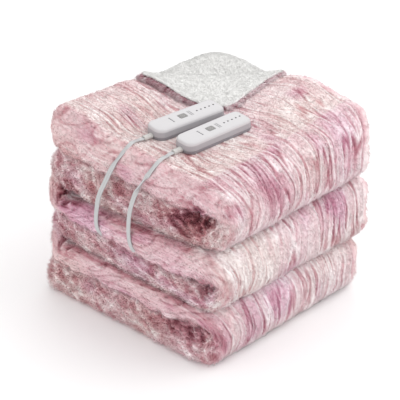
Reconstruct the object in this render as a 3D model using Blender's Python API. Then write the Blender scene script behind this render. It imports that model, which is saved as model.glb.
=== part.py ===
"""An electric heated blanket, folded back and forth into a stack, with its two hand controllers.

The blanket is one strip of six layers joined by five folds, three at the front and two at the
back. Its far right corner is turned back, which shows the white lining. Two leads run from the
controllers down the left side into the folds.

Metres, +Z up. X runs along the folds, -Y is the front of the folds, and Z is 0 on the table.
"""
import math
from collections import namedtuple

import bmesh
import bpy
from mathutils import Matrix, Vector

# ---- driving dimensions -------------------------------------------------------------------

LAYER_GAP = 0.0024          # between two layers of the folded strip
PIECE_GAP = 0.0003          # between two pieces that touch
BED_GAP = 0.0010            # under the lining, where both faces are curved
PLAN_LEFT, PLAN_RIGHT = -0.202, 0.178      # where the corner heights below are measured
PLAN_FRONT, PLAN_BACK = -0.1925, 0.178

# How high each face of a layer lies, at the four corners of the stack
Corners = namedtuple("Corners", "front_left front_right back_left back_right")
HEIGHTS = {
    "top": Corners(0.338, 0.347, 0.374, 0.345),
    "upper fold": Corners(0.280, 0.283, 0.283, 0.277),
    "upper notch": Corners(0.219, 0.211, 0.193, 0.203),
    "middle fold": Corners(0.148, 0.146, 0.170, 0.152),
    "lower notch": Corners(0.106, 0.095, 0.108, 0.097),
    "lower fold": Corners(0.072, 0.056, 0.068, 0.059),
    "floor": Corners(0.0, 0.0, 0.0, 0.0),
}
LEVELS = tuple(HEIGHTS)
TOP_SAG = 0.0175            # in the middle
# The cloth swells up beside the end of the crease, at the right, and dips under the crease
SWELL, SWELL_Y, SWELL_WIDTH = 0.013, -0.074, 0.048
CREASE_DIP, DIP_FADE_MIDDLE, DIP_FADE_CORNER = 0.0065, 0.035, 0.085
# Under the controllers the top lies pressed flat, and eases back to its own height round them
PRESSED_HEIGHT, PRESSED_FADE = 0.3302, 0.070
PRESSED_MIDDLE, PRESSED_HALF = Vector((-0.046, -0.020)), Vector((0.076, 0.062))
WAVER = 0.0018              # how far the folds between layers wander up and down

# The six layers, top to bottom: their side edges, and how those are rounded
Layer = namedtuple("Layer", "left right round_over")
LAYERS = (
    Layer(-0.196, 0.203, 0.024),
    Layer(-0.184, 0.197, 0.023),
    Layer(-0.200, 0.203, 0.016),
    Layer(-0.191, 0.199, 0.021),
    Layer(-0.203, 0.186, 0.014),
    Layer(-0.196, 0.179, 0.018),
)
# The five folds, top to bottom: the way they point, their tip, and the pocket inside them
Fold = namedtuple("Fold", "way tip depth pocket_height pocket_depth")
FOLDS = (
    Fold(-1, -0.206, 0.057, 0.006, 0.020),
    Fold(+1, 0.206, 0.048, 0.016, 0.014),
    Fold(-1, -0.204, 0.048, 0.006, 0.016),
    Fold(+1, 0.198, 0.040, 0.014, 0.012),
    Fold(-1, -0.197, 0.044, 0.006, 0.014),
)
TOP_END, FLOOR_END = 0.176, 0.197          # where the strip's two cut ends lie, at the back
TOP_END_SKEW = -0.005                      # the top end draws in towards the right
# How a cut end is rounded, on its upper and its lower side
END_ROUNDING = {0: (0.024, 0.010), 5: (0.018, 0.004)}
POCKET_REACH = 0.050        # how far a pocket opens the layers beside it
HOLLOW_REACH = 0.060        # how far the drawn-in fold ends reach along the layers
HOLLOW = {-1: 0.013, +1: 0.005}            # how far a fold's ends draw in, front and back
PLAN_ROUNDING = 0.015       # the folds' corners, seen from above
END_PLAN_ROUNDING = 0.009   # the same at the strip's cut ends
FOLD_FULLNESS = 1.15        # 1 is a plain half ellipse, more is squarer
EDGE_FULLNESS_UPPER, EDGE_FULLNESS_LOWER = 2.2, 3.0

ACROSS, ALONG, ROUND_FOLD, ROUND_EDGE = 18, 8, 8, 5     # facets
ALONG_TOP = 14              # the top layer carries the controllers, so it has more rows
END_ROWS = (0.0, 0.003, 0.009, 0.018)      # extra rows beside a cut end

# The turned corner: its crease runs from the back edge to the right edge
CREASE_BACK, CREASE_RIGHT = Vector((-0.002, 0.176)), Vector((0.203, -0.012))
CORNER = Vector((0.205, 0.172))
CORNER_ROUNDING = 0.030
CREASE_INSET = 0.0045       # the corner ply ends this far inside both ends of the crease
CREASE_WAY = (CREASE_RIGHT - CREASE_BACK).normalized()
CREASE_LENGTH = (CREASE_RIGHT - CREASE_BACK).length
TO_CORNER = Vector((-CREASE_WAY.y, CREASE_WAY.x))
CORNER_ALONG = (CORNER - CREASE_BACK).dot(CREASE_WAY)
CORNER_REACH = (CORNER - CREASE_BACK).dot(TO_CORNER)
CORNER_END = CORNER_REACH - CORNER_ROUNDING * (math.sqrt(2) - 1)
FUR_PLY, LINING_PLY = 0.0045, 0.0037
PLY = FUR_PLY + PIECE_GAP + LINING_PLY     # the ply that is turned back
BEND_RADIUS = 0.0012        # inside of the bend
BEND_LENGTH = math.pi * BEND_RADIUS
BEND_START, BEND_FINISH = 0.018, 0.266     # where the bend starts and ends along the crease
FLAP_START, FLAP_FINISH = -0.004, 0.262    # where lines along the flap's sides cross the crease
FLAP_APEX, FLAP_APEX_REACH = 0.142, 0.121  # where those lines meet
FLAP_END = 0.1015           # how far back from the crease the rounded tip reaches
FlapEnd = namedtuple("FlapEnd", "reach width")
FLAP_LEFT_END, FLAP_RIGHT_END = FlapEnd(0.038, 0.034), FlapEnd(0.016, 0.012)
ROOT_STEP = 0.0010          # the flap starts this far below the top
BED_DROOP, BED_DROOP_REACH = 0.0095, 0.040 # the corner under the flap droops to its edges
FLAP_ROWS = (0.1, 0.22, 0.36, 0.52, 0.68, 0.80, 0.88, 0.94, 0.975)

# Hand controllers: the housing lies along its own x, with the lead at -x
BODY_LENGTH, BODY_WIDTH, BODY_HEIGHT = 0.141, 0.045, 0.0215
PARTING_HEIGHT = 0.0070
LEAD_END_ROUNDING, FAR_END_ROUNDING = 0.0160, 0.0110
KEY_SIZE, KEY_THICKNESS, KEY_PROUD = Vector((0.0150, 0.0130)), 0.0024, 0.0004
KEY_X, KEY_TRAVEL = -0.006, 0.0007
KEY_ROUNDING = 0.0020
LIGHT_COUNT, LIGHT_PITCH, FIRST_LIGHT_X = 5, 0.0087, 0.0240
LIGHT_RADIUS, LIGHT_PROUD, LIGHT_DEPTH = 0.0011, 0.0003, 0.0008
GLAND_LENGTH, GLAND_HEIGHT = 0.0170, 0.0095
SEAT_GAP = 0.0009           # between a housing and the fur below it
Place = namedtuple("Place", "name x y turn")
CONTROLLERS = (
    Place("controller_1", -0.0442, 0.0115, math.radians(-9.8)),
    Place("controller_2", -0.0442, -0.0517, math.radians(-6.4)),
)

# Leads: their route from the gland to where they tuck in between two layers
LEAD_RADIUS = 0.0025
LEAD_STEP = 0.0125          # between the tube's points, at most
LEAD_LIFT = 0.0046          # of a lead's middle, over the top
LEAD_1_ON_TOP = ((-0.1500, 0.0245), (-0.1650, 0.0165))
LEAD_1_DROP = (
    (-0.1745, 0.0128, 0.3514), (-0.1842, 0.0115, 0.3476), (-0.1935, 0.0135, 0.3412),
    (-0.1985, 0.0190, 0.3300), (-0.2010, 0.0290, 0.3130), (-0.2035, 0.0370, 0.2950),
    (-0.2045, 0.0445, 0.2775), (-0.2045, 0.0595, 0.2465), (-0.2045, 0.0655, 0.2190),
    (-0.2045, 0.0685, 0.1930), (-0.2040, 0.0665, 0.1765), (-0.2010, 0.0610, 0.1670),
    (-0.1945, 0.0550, 0.1630),
)
LEAD_2_ON_TOP = ((-0.1500, -0.0465), (-0.1670, -0.0525))
LEAD_2_DROP = (
    (-0.1775, -0.0552, 0.3464), (-0.1872, -0.0558, 0.3423), (-0.1962, -0.0535, 0.3345),
    (-0.2004, -0.0475, 0.3215), (-0.2025, -0.0390, 0.3090), (-0.2042, -0.0310, 0.2950),
    (-0.2045, -0.0220, 0.2755), (-0.2045, -0.0125, 0.2465), (-0.2045, -0.0085, 0.2200),
    (-0.2045, -0.0080, 0.1945), (-0.2045, -0.0110, 0.1785), (-0.2020, -0.0160, 0.1660),
    (-0.1955, -0.0215, 0.1600),
)

# Colours as linear RGB, with roughness
Finish = namedtuple("Finish", "name colour roughness")
FUR = Finish("ruched plush", (0.62, 0.36, 0.40), 0.90)
LINING = Finish("sherpa", (0.83, 0.82, 0.80), 0.95)
HOUSING = Finish("white housing", (0.86, 0.86, 0.87), 0.28)
KEY = Finish("grey key", (0.42, 0.41, 0.40), 0.45)
LIGHT = Finish("dark light window", (0.06, 0.06, 0.07), 0.20)
LEAD = Finish("pale lead", (0.70, 0.71, 0.71), 0.40)


# ---- small helpers ------------------------------------------------------------------------

def ease(t):
    """A smooth step from 0 to 1."""
    t = min(max(t, 0.0), 1.0)
    return t * t * (3 - 2 * t)


def mix(a, b, t):
    return a + (b - a) * t


def clear_scene():
    for found in list(bpy.data.objects):
        bpy.data.objects.remove(found, do_unlink=True)


def material(finish):
    made = bpy.data.materials.get(finish.name) or bpy.data.materials.new(finish.name)
    made.use_nodes = True
    shader = made.node_tree.nodes["Principled BSDF"]
    shader.inputs["Base Color"].default_value = (*finish.colour, 1.0)
    shader.inputs["Roughness"].default_value = finish.roughness
    return made


def add_object(name, bm, finish):
    mesh = bpy.data.meshes.new(name)
    bmesh.ops.recalc_face_normals(bm, faces=bm.faces)
    bm.to_mesh(mesh)
    bm.free()
    mesh.materials.append(material(finish))
    mesh.shade_smooth()
    mesh.set_sharp_from_angle(angle=math.radians(40))
    made = bpy.data.objects.new(name, mesh)
    bpy.context.collection.objects.link(made)
    return made


def skin(rings):
    """A closed skin: each ring of points is extruded from the one before, and the ends filled."""
    bm = bmesh.new()
    verts = [bm.verts.new(point) for point in rings[0]]
    first = bm.faces.new(verts)
    edges = list(first.edges)
    for ring in rings[1:]:
        grown = bmesh.ops.extrude_edge_only(bm, edges=edges)["geom"]
        edges = [item for item in grown if isinstance(item, bmesh.types.BMEdge)
                 and all(v in grown for v in item.verts)]
        new_verts = [item for item in grown if isinstance(item, bmesh.types.BMVert)]
        old_of = {}
        for vert in new_verts:
            old_of[vert] = next(e.other_vert(vert) for e in vert.link_edges
                                if e.other_vert(vert) in verts)
        follows = {old: new for new, old in old_of.items()}
        verts = [follows[old] for old in verts]
        for vert, point in zip(verts, ring):
            vert.co = point
    bm.faces.new(verts)
    # Two plies over one another are divided alike, so their faces stay the same gap apart
    bmesh.ops.triangulate(bm, faces=bm.faces, quad_method="SHORT_EDGE")
    return bm


def boolean(target, tool, operation):
    """Cut the tool from the target, or join it on, and delete the tool."""
    modifier = target.modifiers.new("boolean", "BOOLEAN")
    modifier.object = tool
    modifier.operation = operation
    modifier.solver = "EXACT"
    bpy.context.view_layer.update()
    evaluated = target.evaluated_get(bpy.context.evaluated_depsgraph_get())
    mesh = bpy.data.meshes.new_from_object(evaluated)
    target.modifiers.clear()
    target.data = mesh
    bpy.data.objects.remove(tool, do_unlink=True)


# ---- the folded strip ---------------------------------------------------------------------

def plan_share(x, y):
    u = (x - PLAN_LEFT) / (PLAN_RIGHT - PLAN_LEFT)
    v = (y - PLAN_FRONT) / (PLAN_BACK - PLAN_FRONT)
    return min(max(u, 0.0), 1.0), min(max(v, 0.0), 1.0)


def level_height(level, x, y):
    """Height of the face between two layers, or of the top or the floor."""
    u, v = plan_share(x, y)
    corner = HEIGHTS[level]
    front = mix(corner.front_left, corner.front_right, u)
    back = mix(corner.back_left, corner.back_right, u)
    height = mix(front, back, v)
    if level == "top":
        hump_x, hump_y = 4 * u * (1 - u), 4 * v * (1 - v)
        height -= TOP_SAG * hump_x * hump_y
        height += SWELL * u * u * math.exp(-((y - SWELL_Y) / SWELL_WIDTH) ** 2)
        beyond = (Vector((x, y)) - CREASE_BACK).dot(TO_CORNER)
        fade = DIP_FADE_CORNER if beyond > 0 else DIP_FADE_MIDDLE
        height -= CREASE_DIP * ease(1 - abs(beyond) / fade)
        away = Vector([max(abs(place - middle) - half, 0.0) for place, middle, half
                       in zip((x, y), PRESSED_MIDDLE, PRESSED_HALF)]).length
        height = mix(height, PRESSED_HEIGHT, ease(1 - away / PRESSED_FADE))
    elif level != "floor":
        phase = LEVELS.index(level)
        height += WAVER * math.sin(34 * x + 1.7 * phase) * math.cos(27 * y + 0.9 * phase)
    return height


def join_y(fold):
    """Where a fold's bend meets its two straight layers."""
    return fold.tip - fold.way * fold.depth


def cut_end(layer):
    return TOP_END if layer == 0 else FLOOR_END


def side_height(layer, side, x, y):
    """Height of a layer's upper (+1) or lower (-1) face."""
    level = LEVELS[layer] if side > 0 else LEVELS[layer + 1]
    height = level_height(level, x, y)
    if level not in ("top", "floor"):
        fold = FOLDS[layer - 1] if side > 0 else FOLDS[layer]
        closeness = ease(1 - (join_y(fold) - y) * fold.way / POCKET_REACH)
        height -= side * mix(LAYER_GAP, fold.pocket_height, closeness) / 2
    if layer in END_ROUNDING:
        radius = END_ROUNDING[layer][0 if side > 0 else 1]
        reach = min(max((y - cut_end(layer) + radius) / radius, 0.0), 1.0)
        height -= side * radius * (1 - math.sqrt(1 - 0.94 * reach * reach))
    return height


Row = namedtuple("Row", "bend layer share")


def run_ends(layer):
    """Where a straight layer starts and ends, going down the strip."""
    start = cut_end(0) if layer == 0 else join_y(FOLDS[layer - 1])
    end = cut_end(5) if layer == 5 else join_y(FOLDS[layer])
    return start, end


def strip_rows():
    """The rows along the strip, from its top end to its floor end."""
    rows = []
    for layer in range(len(LAYERS)):
        start, end = run_ends(layer)
        length = abs(end - start)
        count = ALONG_TOP if layer == 0 else ALONG
        shares = [i / (count - 1) for i in range(count)]
        if layer == 0:
            shares = [d / length for d in END_ROWS] + shares[1:]
        if layer == len(FOLDS):
            shares = shares[:-1] + [1 - d / length for d in reversed(END_ROWS)]
        rows += [Row(False, layer, share) for share in shares]
        if layer < len(FOLDS):
            rows += [Row(True, layer, i / ROUND_FOLD) for i in range(1, ROUND_FOLD)]
    return rows


def strip_faces(row, x):
    """The strip's first side (up on the top layer) and second side, at one x of a row."""
    layer = row.layer
    if not row.bend:
        start, end = run_ends(layer)
        y = mix(start, end, row.share)
        up = 1 if layer % 2 == 0 else -1
        heights = [side_height(layer, up, x, y), side_height(layer, -up, x, y)]
        if layer == 0:
            y += TOP_END_SKEW * x / 0.2 * (1 - row.share)
        return [Vector((x, y, height)) for height in heights]
    fold = FOLDS[layer]
    join = join_y(fold)
    angle = math.pi * (0.5 - row.share)
    outward, upward = math.cos(angle), math.sin(angle)
    outer_high = side_height(layer, +1, x, join)
    outer_low = side_height(layer + 1, -1, x, join)
    inner_high = side_height(layer, -1, x, join)
    inner_low = side_height(layer + 1, +1, x, join)
    full_out = outward ** (1 / FOLD_FULLNESS)
    full_up = math.copysign(abs(upward) ** (1 / FOLD_FULLNESS), upward)
    outer = Vector((x, join + fold.way * fold.depth * full_out,
                    mix(outer_low, outer_high, (1 + full_up) / 2)))
    inner = Vector((x, join + fold.way * fold.pocket_depth * outward,
                    mix(inner_low, inner_high, (1 + upward) / 2)))
    return [outer, inner] if fold.way < 0 else [inner, outer]


def row_edges(row):
    """Left edge, right edge and rounding of a row."""
    here = LAYERS[row.layer]
    if not row.bend:
        return here
    below = LAYERS[row.layer + 1]
    share = ease(row.share)
    return Layer(*(mix(a, b, share) for a, b in zip(here, below)))


def hollow_of(row, way):
    """How far the side that lies inside a fold pointing this way is drawn in, at a row's ends."""
    if row.bend:
        return HOLLOW[way] if FOLDS[row.layer].way == way else 0.0
    start, end = run_ends(row.layer)
    y = mix(start, end, row.share)
    amount = 0.0
    for index in (row.layer - 1, row.layer):
        if 0 <= index < len(FOLDS) and FOLDS[index].way == way:
            amount = HOLLOW[way] * ease(1 - abs(y - join_y(FOLDS[index])) / HOLLOW_REACH)
    return amount


def plan_inset(row):
    """How far the ends of a bend, or of a cut end's last rows, draw in, seen from above."""
    if row.bend:
        outward = math.cos(math.pi * (0.5 - row.share))
        return PLAN_ROUNDING * (1 - math.sqrt(1 - outward * outward))
    if row.layer not in END_ROUNDING:
        return 0.0
    start, end = run_ends(row.layer)
    left = abs(mix(start, end, row.share) - cut_end(row.layer))
    near = max(1 - left / END_PLAN_ROUNDING, 0.0)
    return END_PLAN_ROUNDING * (1 - math.sqrt(1 - 0.96 * near * near))


def strip_ring(row):
    """The points round the strip at one row."""
    edges = row_edges(row)
    inset = edges.round_over + plan_inset(row)
    hollow_first, hollow_second = hollow_of(row, +1), hollow_of(row, -1)
    first_side_up = row.layer % 2 == 0

    def inset_at(w):
        """w is 1 on the first side and -1 on the second."""
        return (inset + hollow_second * ease((0.45 - w) / 1.45)
                + hollow_first * ease((0.45 + w) / 1.45))

    def side(index, w):
        left, right = edges.left + inset_at(w), edges.right - inset_at(w)
        return [strip_faces(row, mix(left, right, i / (ACROSS - 1)))[index]
                for i in range(ACROSS)]

    def edge(w, outward):
        base = edges.right - inset_at(w) if outward > 0 else edges.left + inset_at(w)
        first, second = strip_faces(row, base)
        point = second.lerp(first, (w + 1) / 2)
        upper = (w > 0) == first_side_up
        fullness = EDGE_FULLNESS_UPPER if upper else EDGE_FULLNESS_LOWER
        point.x += outward * edges.round_over * (1 - abs(w) ** fullness) ** (1 / fullness)
        return point

    steps = [1 - 2 * (j + 1) / (ROUND_EDGE + 1) for j in range(ROUND_EDGE)]
    return (side(0, 1.0) + [edge(w, +1) for w in steps]
            + side(1, -1.0)[::-1] + [edge(w, -1) for w in reversed(steps)])


# ---- the turned corner --------------------------------------------------------------------

def crease_point(along, beyond, height_over_top):
    """A point by its place along the crease, beyond it towards the corner, and over the top."""
    plan = CREASE_BACK + CREASE_WAY * along + TO_CORNER * beyond
    return Vector((plan.x, plan.y, level_height("top", plan.x, plan.y) + height_over_top))


def flap_point(along, travel, out):
    """A point of the turned ply: travel is measured along its inner face from the crease."""
    base = -ROOT_STEP
    if travel <= 0:
        return crease_point(along, travel, base - out)
    if travel < BEND_LENGTH:
        angle = travel / BEND_RADIUS
        radius = BEND_RADIUS + out
        return crease_point(along, radius * math.sin(angle),
                            base + BEND_RADIUS - radius * math.cos(angle))
    back = travel - BEND_LENGTH
    return crease_point(along, -back, base + 2 * BEND_RADIUS + out)


def bed_point(along, beyond, height_over_top):
    """A point beyond the crease: the same as crease_point, but drooping to the cloth's edges."""
    point = crease_point(along, beyond, height_over_top)
    for left in (TOP_END + TOP_END_SKEW * point.x / 0.2 - point.y, LAYERS[0].right - point.x):
        point.z -= BED_DROOP * min(max(1 - left / BED_DROOP_REACH, 0.0), 1.0) ** 2
    return point


def patch_sides(reach):
    """Where the ply under the corner starts and ends along the crease, this far beyond it."""
    left = max(CORNER_REACH - reach, 0.0)
    width = left
    if left < CORNER_ROUNDING / math.sqrt(2):
        from_centre = CORNER_ROUNDING * math.sqrt(2) - left
        width = math.sqrt(max(CORNER_ROUNDING ** 2 - from_centre ** 2, 1e-6))
    share = width / CORNER_REACH
    return (CORNER_ALONG - (CORNER_ALONG - CREASE_INSET) * share,
            CORNER_ALONG + (CREASE_LENGTH - CREASE_INSET - CORNER_ALONG) * share)


def flap_sides(travel):
    """Where the turned plies start and end along the crease, this far along them."""
    back = max(travel - BEND_LENGTH, 0.0)
    sides = []
    for along, way, end in ((FLAP_START, +1, FLAP_LEFT_END), (FLAP_FINISH, -1, FLAP_RIGHT_END)):
        cut = min(max((back - FLAP_END + end.reach) / end.reach, 0.0), 1.0)
        sides.append(mix(along, FLAP_APEX, back / FLAP_APEX_REACH)
                     + way * end.width * (1 - math.sqrt(1 - cut * cut)))
    return max(sides[0], BEND_START), min(sides[1], BEND_FINISH)


def alongs_between(sides):
    """Places along the crease for a ply's flat faces, and how far its sides are rounded."""
    start, end = sides
    round_over = min(0.004, (end - start) * 0.3)
    return [mix(start + round_over, end - round_over, i / 8) for i in range(9)], round_over


def ply_ring(point_at, sides, low, high, thin=1.0):
    """A ring round a ply's section between its two sides, which are round."""
    alongs, round_over = alongs_between(sides)
    middle = (low + high) / 2
    half = (high - low) / 2 * thin
    upper = [point_at(along, middle + half) for along in alongs]
    lower = [point_at(along, middle - half) for along in alongs]
    reach = round_over * 0.85
    right = [point_at(alongs[-1] + reach, middle + half * s) for s in (0.55, -0.55)]
    left = [point_at(alongs[0] - reach, middle + half * s) for s in (-0.55, 0.55)]
    return upper + right + lower[::-1] + left


def flap_solid(low, high, root):
    """The turned part of one ply, from its root at the crease to its tip."""
    travels = [root] + [BEND_LENGTH * i / 6 for i in range(0 if root < 0 else 1, 7)]
    travels += [BEND_LENGTH + FLAP_END * share for share in FLAP_ROWS]
    rings = [ply_ring(lambda along, out, t=travel: flap_point(along, t, out),
                      flap_sides(travel), low, high) for travel in travels]
    tip = BEND_LENGTH + FLAP_END * 0.9985
    rings.append(ply_ring(lambda along, out: flap_point(along, tip, out), flap_sides(tip),
                          low, high, thin=0.6))
    return skin(rings)


def patch_reaches():
    return [CORNER_END * share for share in FLAP_ROWS] + [CORNER_END * 0.995]


def patch_solid(low, high):
    """The ply under the turned corner, between the crease and the corner."""
    rings = [ply_ring(lambda along, out, r=reach: bed_point(along, r, out),
                      patch_sides(reach), low, high)
             for reach in [PIECE_GAP] + patch_reaches()]
    return skin(rings)


def corner_block(floor):
    """Everything beyond the crease, from this far under the top upwards.

    Its floor is divided as the lining's underside is, so the two stay an even gap apart.
    """
    rings = []
    for reach in [0.0] + patch_reaches() + [CORNER_REACH * 1.3]:
        inner, _ = alongs_between(patch_sides(min(reach, CORNER_END * 0.995)))
        alongs = [inner[0] - 0.035] + inner + [inner[-1] + 0.035]
        rings.append([bed_point(along, reach, floor) for along in alongs]
                     + [crease_point(along, reach, 0.04) for along in (alongs[-1], alongs[0])])
    return skin(rings)


def make_blanket():
    fur = add_object("blanket_fur", skin([strip_ring(row) for row in strip_rows()]), FUR)
    cutter = add_object("corner_cutter", corner_block(-PLY - LINING_PLY - BED_GAP), FUR)
    boolean(fur, cutter, "DIFFERENCE")
    flap = add_object("fur_flap", flap_solid(0.0, FUR_PLY, root=-0.008), FUR)
    boolean(fur, flap, "UNION")
    lining = add_object("blanket_lining", patch_solid(-PLY - LINING_PLY, -PLY), LINING)
    cover = add_object("lining_flap",
                       flap_solid(FUR_PLY + PIECE_GAP, PLY + PIECE_GAP, root=PIECE_GAP), LINING)
    boolean(lining, cover, "UNION")


# ---- hand controllers ---------------------------------------------------------------------

def housing_outline(inset, height):
    """The housing's outline, rounder at the lead's end."""
    half_length, half_width = BODY_LENGTH / 2 - inset, BODY_WIDTH / 2 - inset
    corners = ((-1, -1, LEAD_END_ROUNDING), (1, -1, FAR_END_ROUNDING),
               (1, 1, FAR_END_ROUNDING), (-1, 1, LEAD_END_ROUNDING))
    points = []
    for quarter, (sx, sy, rounding) in enumerate(corners):
        radius = rounding - inset * 0.7
        centre = Vector((sx * (half_length - radius), sy * (half_width - radius)))
        for step in range(6):
            angle = math.pi * (1 + quarter / 2 + step / 10)
            points.append((centre.x + radius * math.cos(angle),
                           centre.y + radius * math.sin(angle), height))
    return points


def lofted(rows):
    """A solid through outlines, from rows of inset and height."""
    return skin([housing_outline(inset, height) for inset, height in rows])


BASE_ROWS = ((0.0042, 0.0), (0.0016, 0.0007), (0.0004, 0.0026), (0.0, PARTING_HEIGHT - PIECE_GAP))
COVER_ROWS = ((0.0, PARTING_HEIGHT), (0.0003, 0.0130), (0.0012, 0.0176), (0.0034, 0.0204),
              (0.0068, BODY_HEIGHT))


def rounded_block(size, rounding, low, high):
    """An upright block with rounded corners and a small chamfer on top."""
    rings = []
    for inset, height in ((0.0, low), (0.0, high - 0.0003), (0.0003, high)):
        ring = []
        for quarter, (sx, sy) in enumerate(((-1, -1), (1, -1), (1, 1), (-1, 1))):
            centre = Vector((sx * (size.x / 2 - rounding), sy * (size.y / 2 - rounding)))
            for step in range(4):
                angle = math.pi * (1 + quarter / 2 + step / 6)
                radius = rounding - inset
                ring.append((centre.x + radius * math.cos(angle),
                             centre.y + radius * math.sin(angle), height))
        rings.append(ring)
    return skin(rings)


def round_plug(radius, low, high, sides=12):
    bm = bmesh.new()
    bmesh.ops.create_cone(bm, cap_ends=True, segments=sides, radius1=radius, radius2=radius,
                          depth=high - low, matrix=Matrix.Translation((0, 0, (low + high) / 2)))
    return bm


def moved(made, offset):
    made.data.transform(Matrix.Translation(offset))
    return made


def gland_solid():
    """The strain relief: an oval sleeve with a collar and two grooves, narrowing to the lead."""
    rows = ((0.0003, 0.50, 0.92), (0.0030, 0.50, 0.92), (0.0036, 0.44, 0.82), (0.0052, 0.44, 0.82),
            (0.0058, 0.48, 0.88), (0.0095, 0.45, 0.84), (0.0101, 0.40, 0.74), (0.0115, 0.40, 0.74),
            (0.0121, 0.43, 0.80), (GLAND_LENGTH, 0.36, 0.68))
    rings = []
    for distance, half_height, half_width in rows:
        ring = []
        for step in range(16):
            angle = 2 * math.pi * step / 16
            ring.append((-BODY_LENGTH / 2 - distance,
                         half_width * GLAND_HEIGHT * 0.62 * math.cos(angle),
                         GLAND_HEIGHT / 2 + 0.0012 + half_height * GLAND_HEIGHT * math.sin(angle)))
        rings.append(ring)
    return skin(rings)


def seat(place):
    """Where a controller stands: on the top, tilted with it, clear of the fur by the seat gap."""
    def top(local_x, local_y):
        x = place.x + local_x * math.cos(place.turn) - local_y * math.sin(place.turn)
        y = place.y + local_x * math.sin(place.turn) + local_y * math.cos(place.turn)
        return level_height("top", x, y)
    long_half, wide_half = BODY_LENGTH / 2 - 0.004, BODY_WIDTH / 2 - 0.004
    pitch = math.atan2(top(long_half, 0) - top(-long_half, 0), 2 * long_half)
    roll = math.atan2(top(0, wide_half) - top(0, -wide_half), 2 * wide_half)
    tilt = (Matrix.Rotation(place.turn, 4, "Z") @ Matrix.Rotation(-pitch, 4, "Y")
            @ Matrix.Rotation(roll, 4, "X"))
    lift = max(top(sx * long_half * s, sy * wide_half) - math.tan(pitch) * sx * long_half * s
               - math.tan(roll) * sy * wide_half
               for sx in (-1, 1) for sy in (-1, 0, 1) for s in (0, 0.5, 1))
    return Matrix.Translation((place.x, place.y, lift + SEAT_GAP)) @ tilt


def make_controller(place):
    frame = bpy.data.objects.new(place.name + "_frame", None)
    bpy.context.collection.objects.link(frame)
    frame.matrix_world = seat(place)
    top = BODY_HEIGHT
    pieces = [add_object(place.name + "_base", lofted(BASE_ROWS), HOUSING)]
    cover = add_object(place.name + "_cover", lofted(COVER_ROWS), HOUSING)
    well_size = KEY_SIZE + Vector((2 * PIECE_GAP, 2 * PIECE_GAP))
    well_floor = top + KEY_PROUD - KEY_THICKNESS - KEY_TRAVEL - PIECE_GAP
    well = add_object("well_cutter", rounded_block(well_size, KEY_ROUNDING + PIECE_GAP,
                                                   well_floor, top + 0.005), HOUSING)
    boolean(cover, moved(well, (KEY_X, 0, 0)), "DIFFERENCE")
    for index in range(LIGHT_COUNT):
        offset = (FIRST_LIGHT_X + index * LIGHT_PITCH, 0, 0)
        hole = add_object("hole_cutter", round_plug(LIGHT_RADIUS + PIECE_GAP,
                                                    top - LIGHT_DEPTH - PIECE_GAP, top + 0.004),
                          HOUSING)
        boolean(cover, moved(hole, offset), "DIFFERENCE")
        lens = add_object(f"{place.name}_light_{index + 1}",
                          round_plug(LIGHT_RADIUS, top - LIGHT_DEPTH, top + LIGHT_PROUD), LIGHT)
        pieces.append(moved(lens, offset))
    pieces.append(cover)
    pieces.append(add_object(place.name + "_gland", gland_solid(), LEAD))
    key = add_object(place.name + "_key", rounded_block(
        KEY_SIZE, KEY_ROUNDING, top + KEY_PROUD - KEY_THICKNESS, top + KEY_PROUD), KEY)
    pieces.append(key)
    key.location = (KEY_X, 0, 0)
    for piece in pieces:
        piece.parent = frame
    return frame


# ---- leads --------------------------------------------------------------------------------

def smooth_route(knots, step):
    """Points along a smooth curve through the knots (Catmull-Rom), about a step apart."""
    padded = [knots[0] * 2 - knots[1]] + knots + [knots[-1] * 2 - knots[-2]]
    points = [knots[0]]
    for a, b, c, d in zip(padded, padded[1:], padded[2:], padded[3:]):
        count = max(1, math.ceil((c - b).length / step))
        for i in range(1, count + 1):
            t = i / count
            points.append(0.5 * ((2 * b) + (c - a) * t + (2 * a - 5 * b + 4 * c - d) * t * t
                                 + (3 * b - a - 3 * c + d) * t ** 3))
    return points


def make_lead(name, frame, on_top, drop):
    """A lead from its gland along the top, over the edge and down into the folds."""
    exit_height = GLAND_HEIGHT / 2 + 0.0012
    leaves = [frame.matrix_world @ Vector((-BODY_LENGTH / 2 - GLAND_LENGTH - d, 0, exit_height))
              for d in (PIECE_GAP, 0.008)]
    curve = bpy.data.curves.new(name, "CURVE")
    curve.dimensions = "3D"
    curve.bevel_depth = LEAD_RADIUS
    curve.bevel_resolution = 2
    curve.render_resolution_u = 0
    curve.use_fill_caps = True
    lies = [Vector((x, y, level_height("top", x, y) + LEAD_LIFT)) for x, y in on_top]
    points = smooth_route(leaves + lies + [Vector(knot) for knot in drop], LEAD_STEP)
    spline = curve.splines.new("POLY")
    spline.points.add(len(points) - 1)
    for target, point in zip(spline.points, points):
        target.co = (*point, 1.0)
    curve.materials.append(material(LEAD))
    made = bpy.data.objects.new(name, curve)
    bpy.context.collection.objects.link(made)


def main():
    clear_scene()
    make_blanket()
    frames = [make_controller(place) for place in CONTROLLERS]
    bpy.context.view_layer.update()
    make_lead("lead_1", frames[0], LEAD_1_ON_TOP, LEAD_1_DROP)
    make_lead("lead_2", frames[1], LEAD_2_ON_TOP, LEAD_2_DROP)


main()
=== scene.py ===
"""The looks of an electric heated blanket, folded into a stack, with its two hand controllers.

The plush is one panel wrapped round the folded strip and ruched by displacement, with a pile of
fine tufts over it. The sherpa lining shows on the turned corner. Metres, +Z up.
"""
import math
from collections import namedtuple

import bmesh
import bpy
import numpy as np
from mathutils import Matrix, Vector


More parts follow.
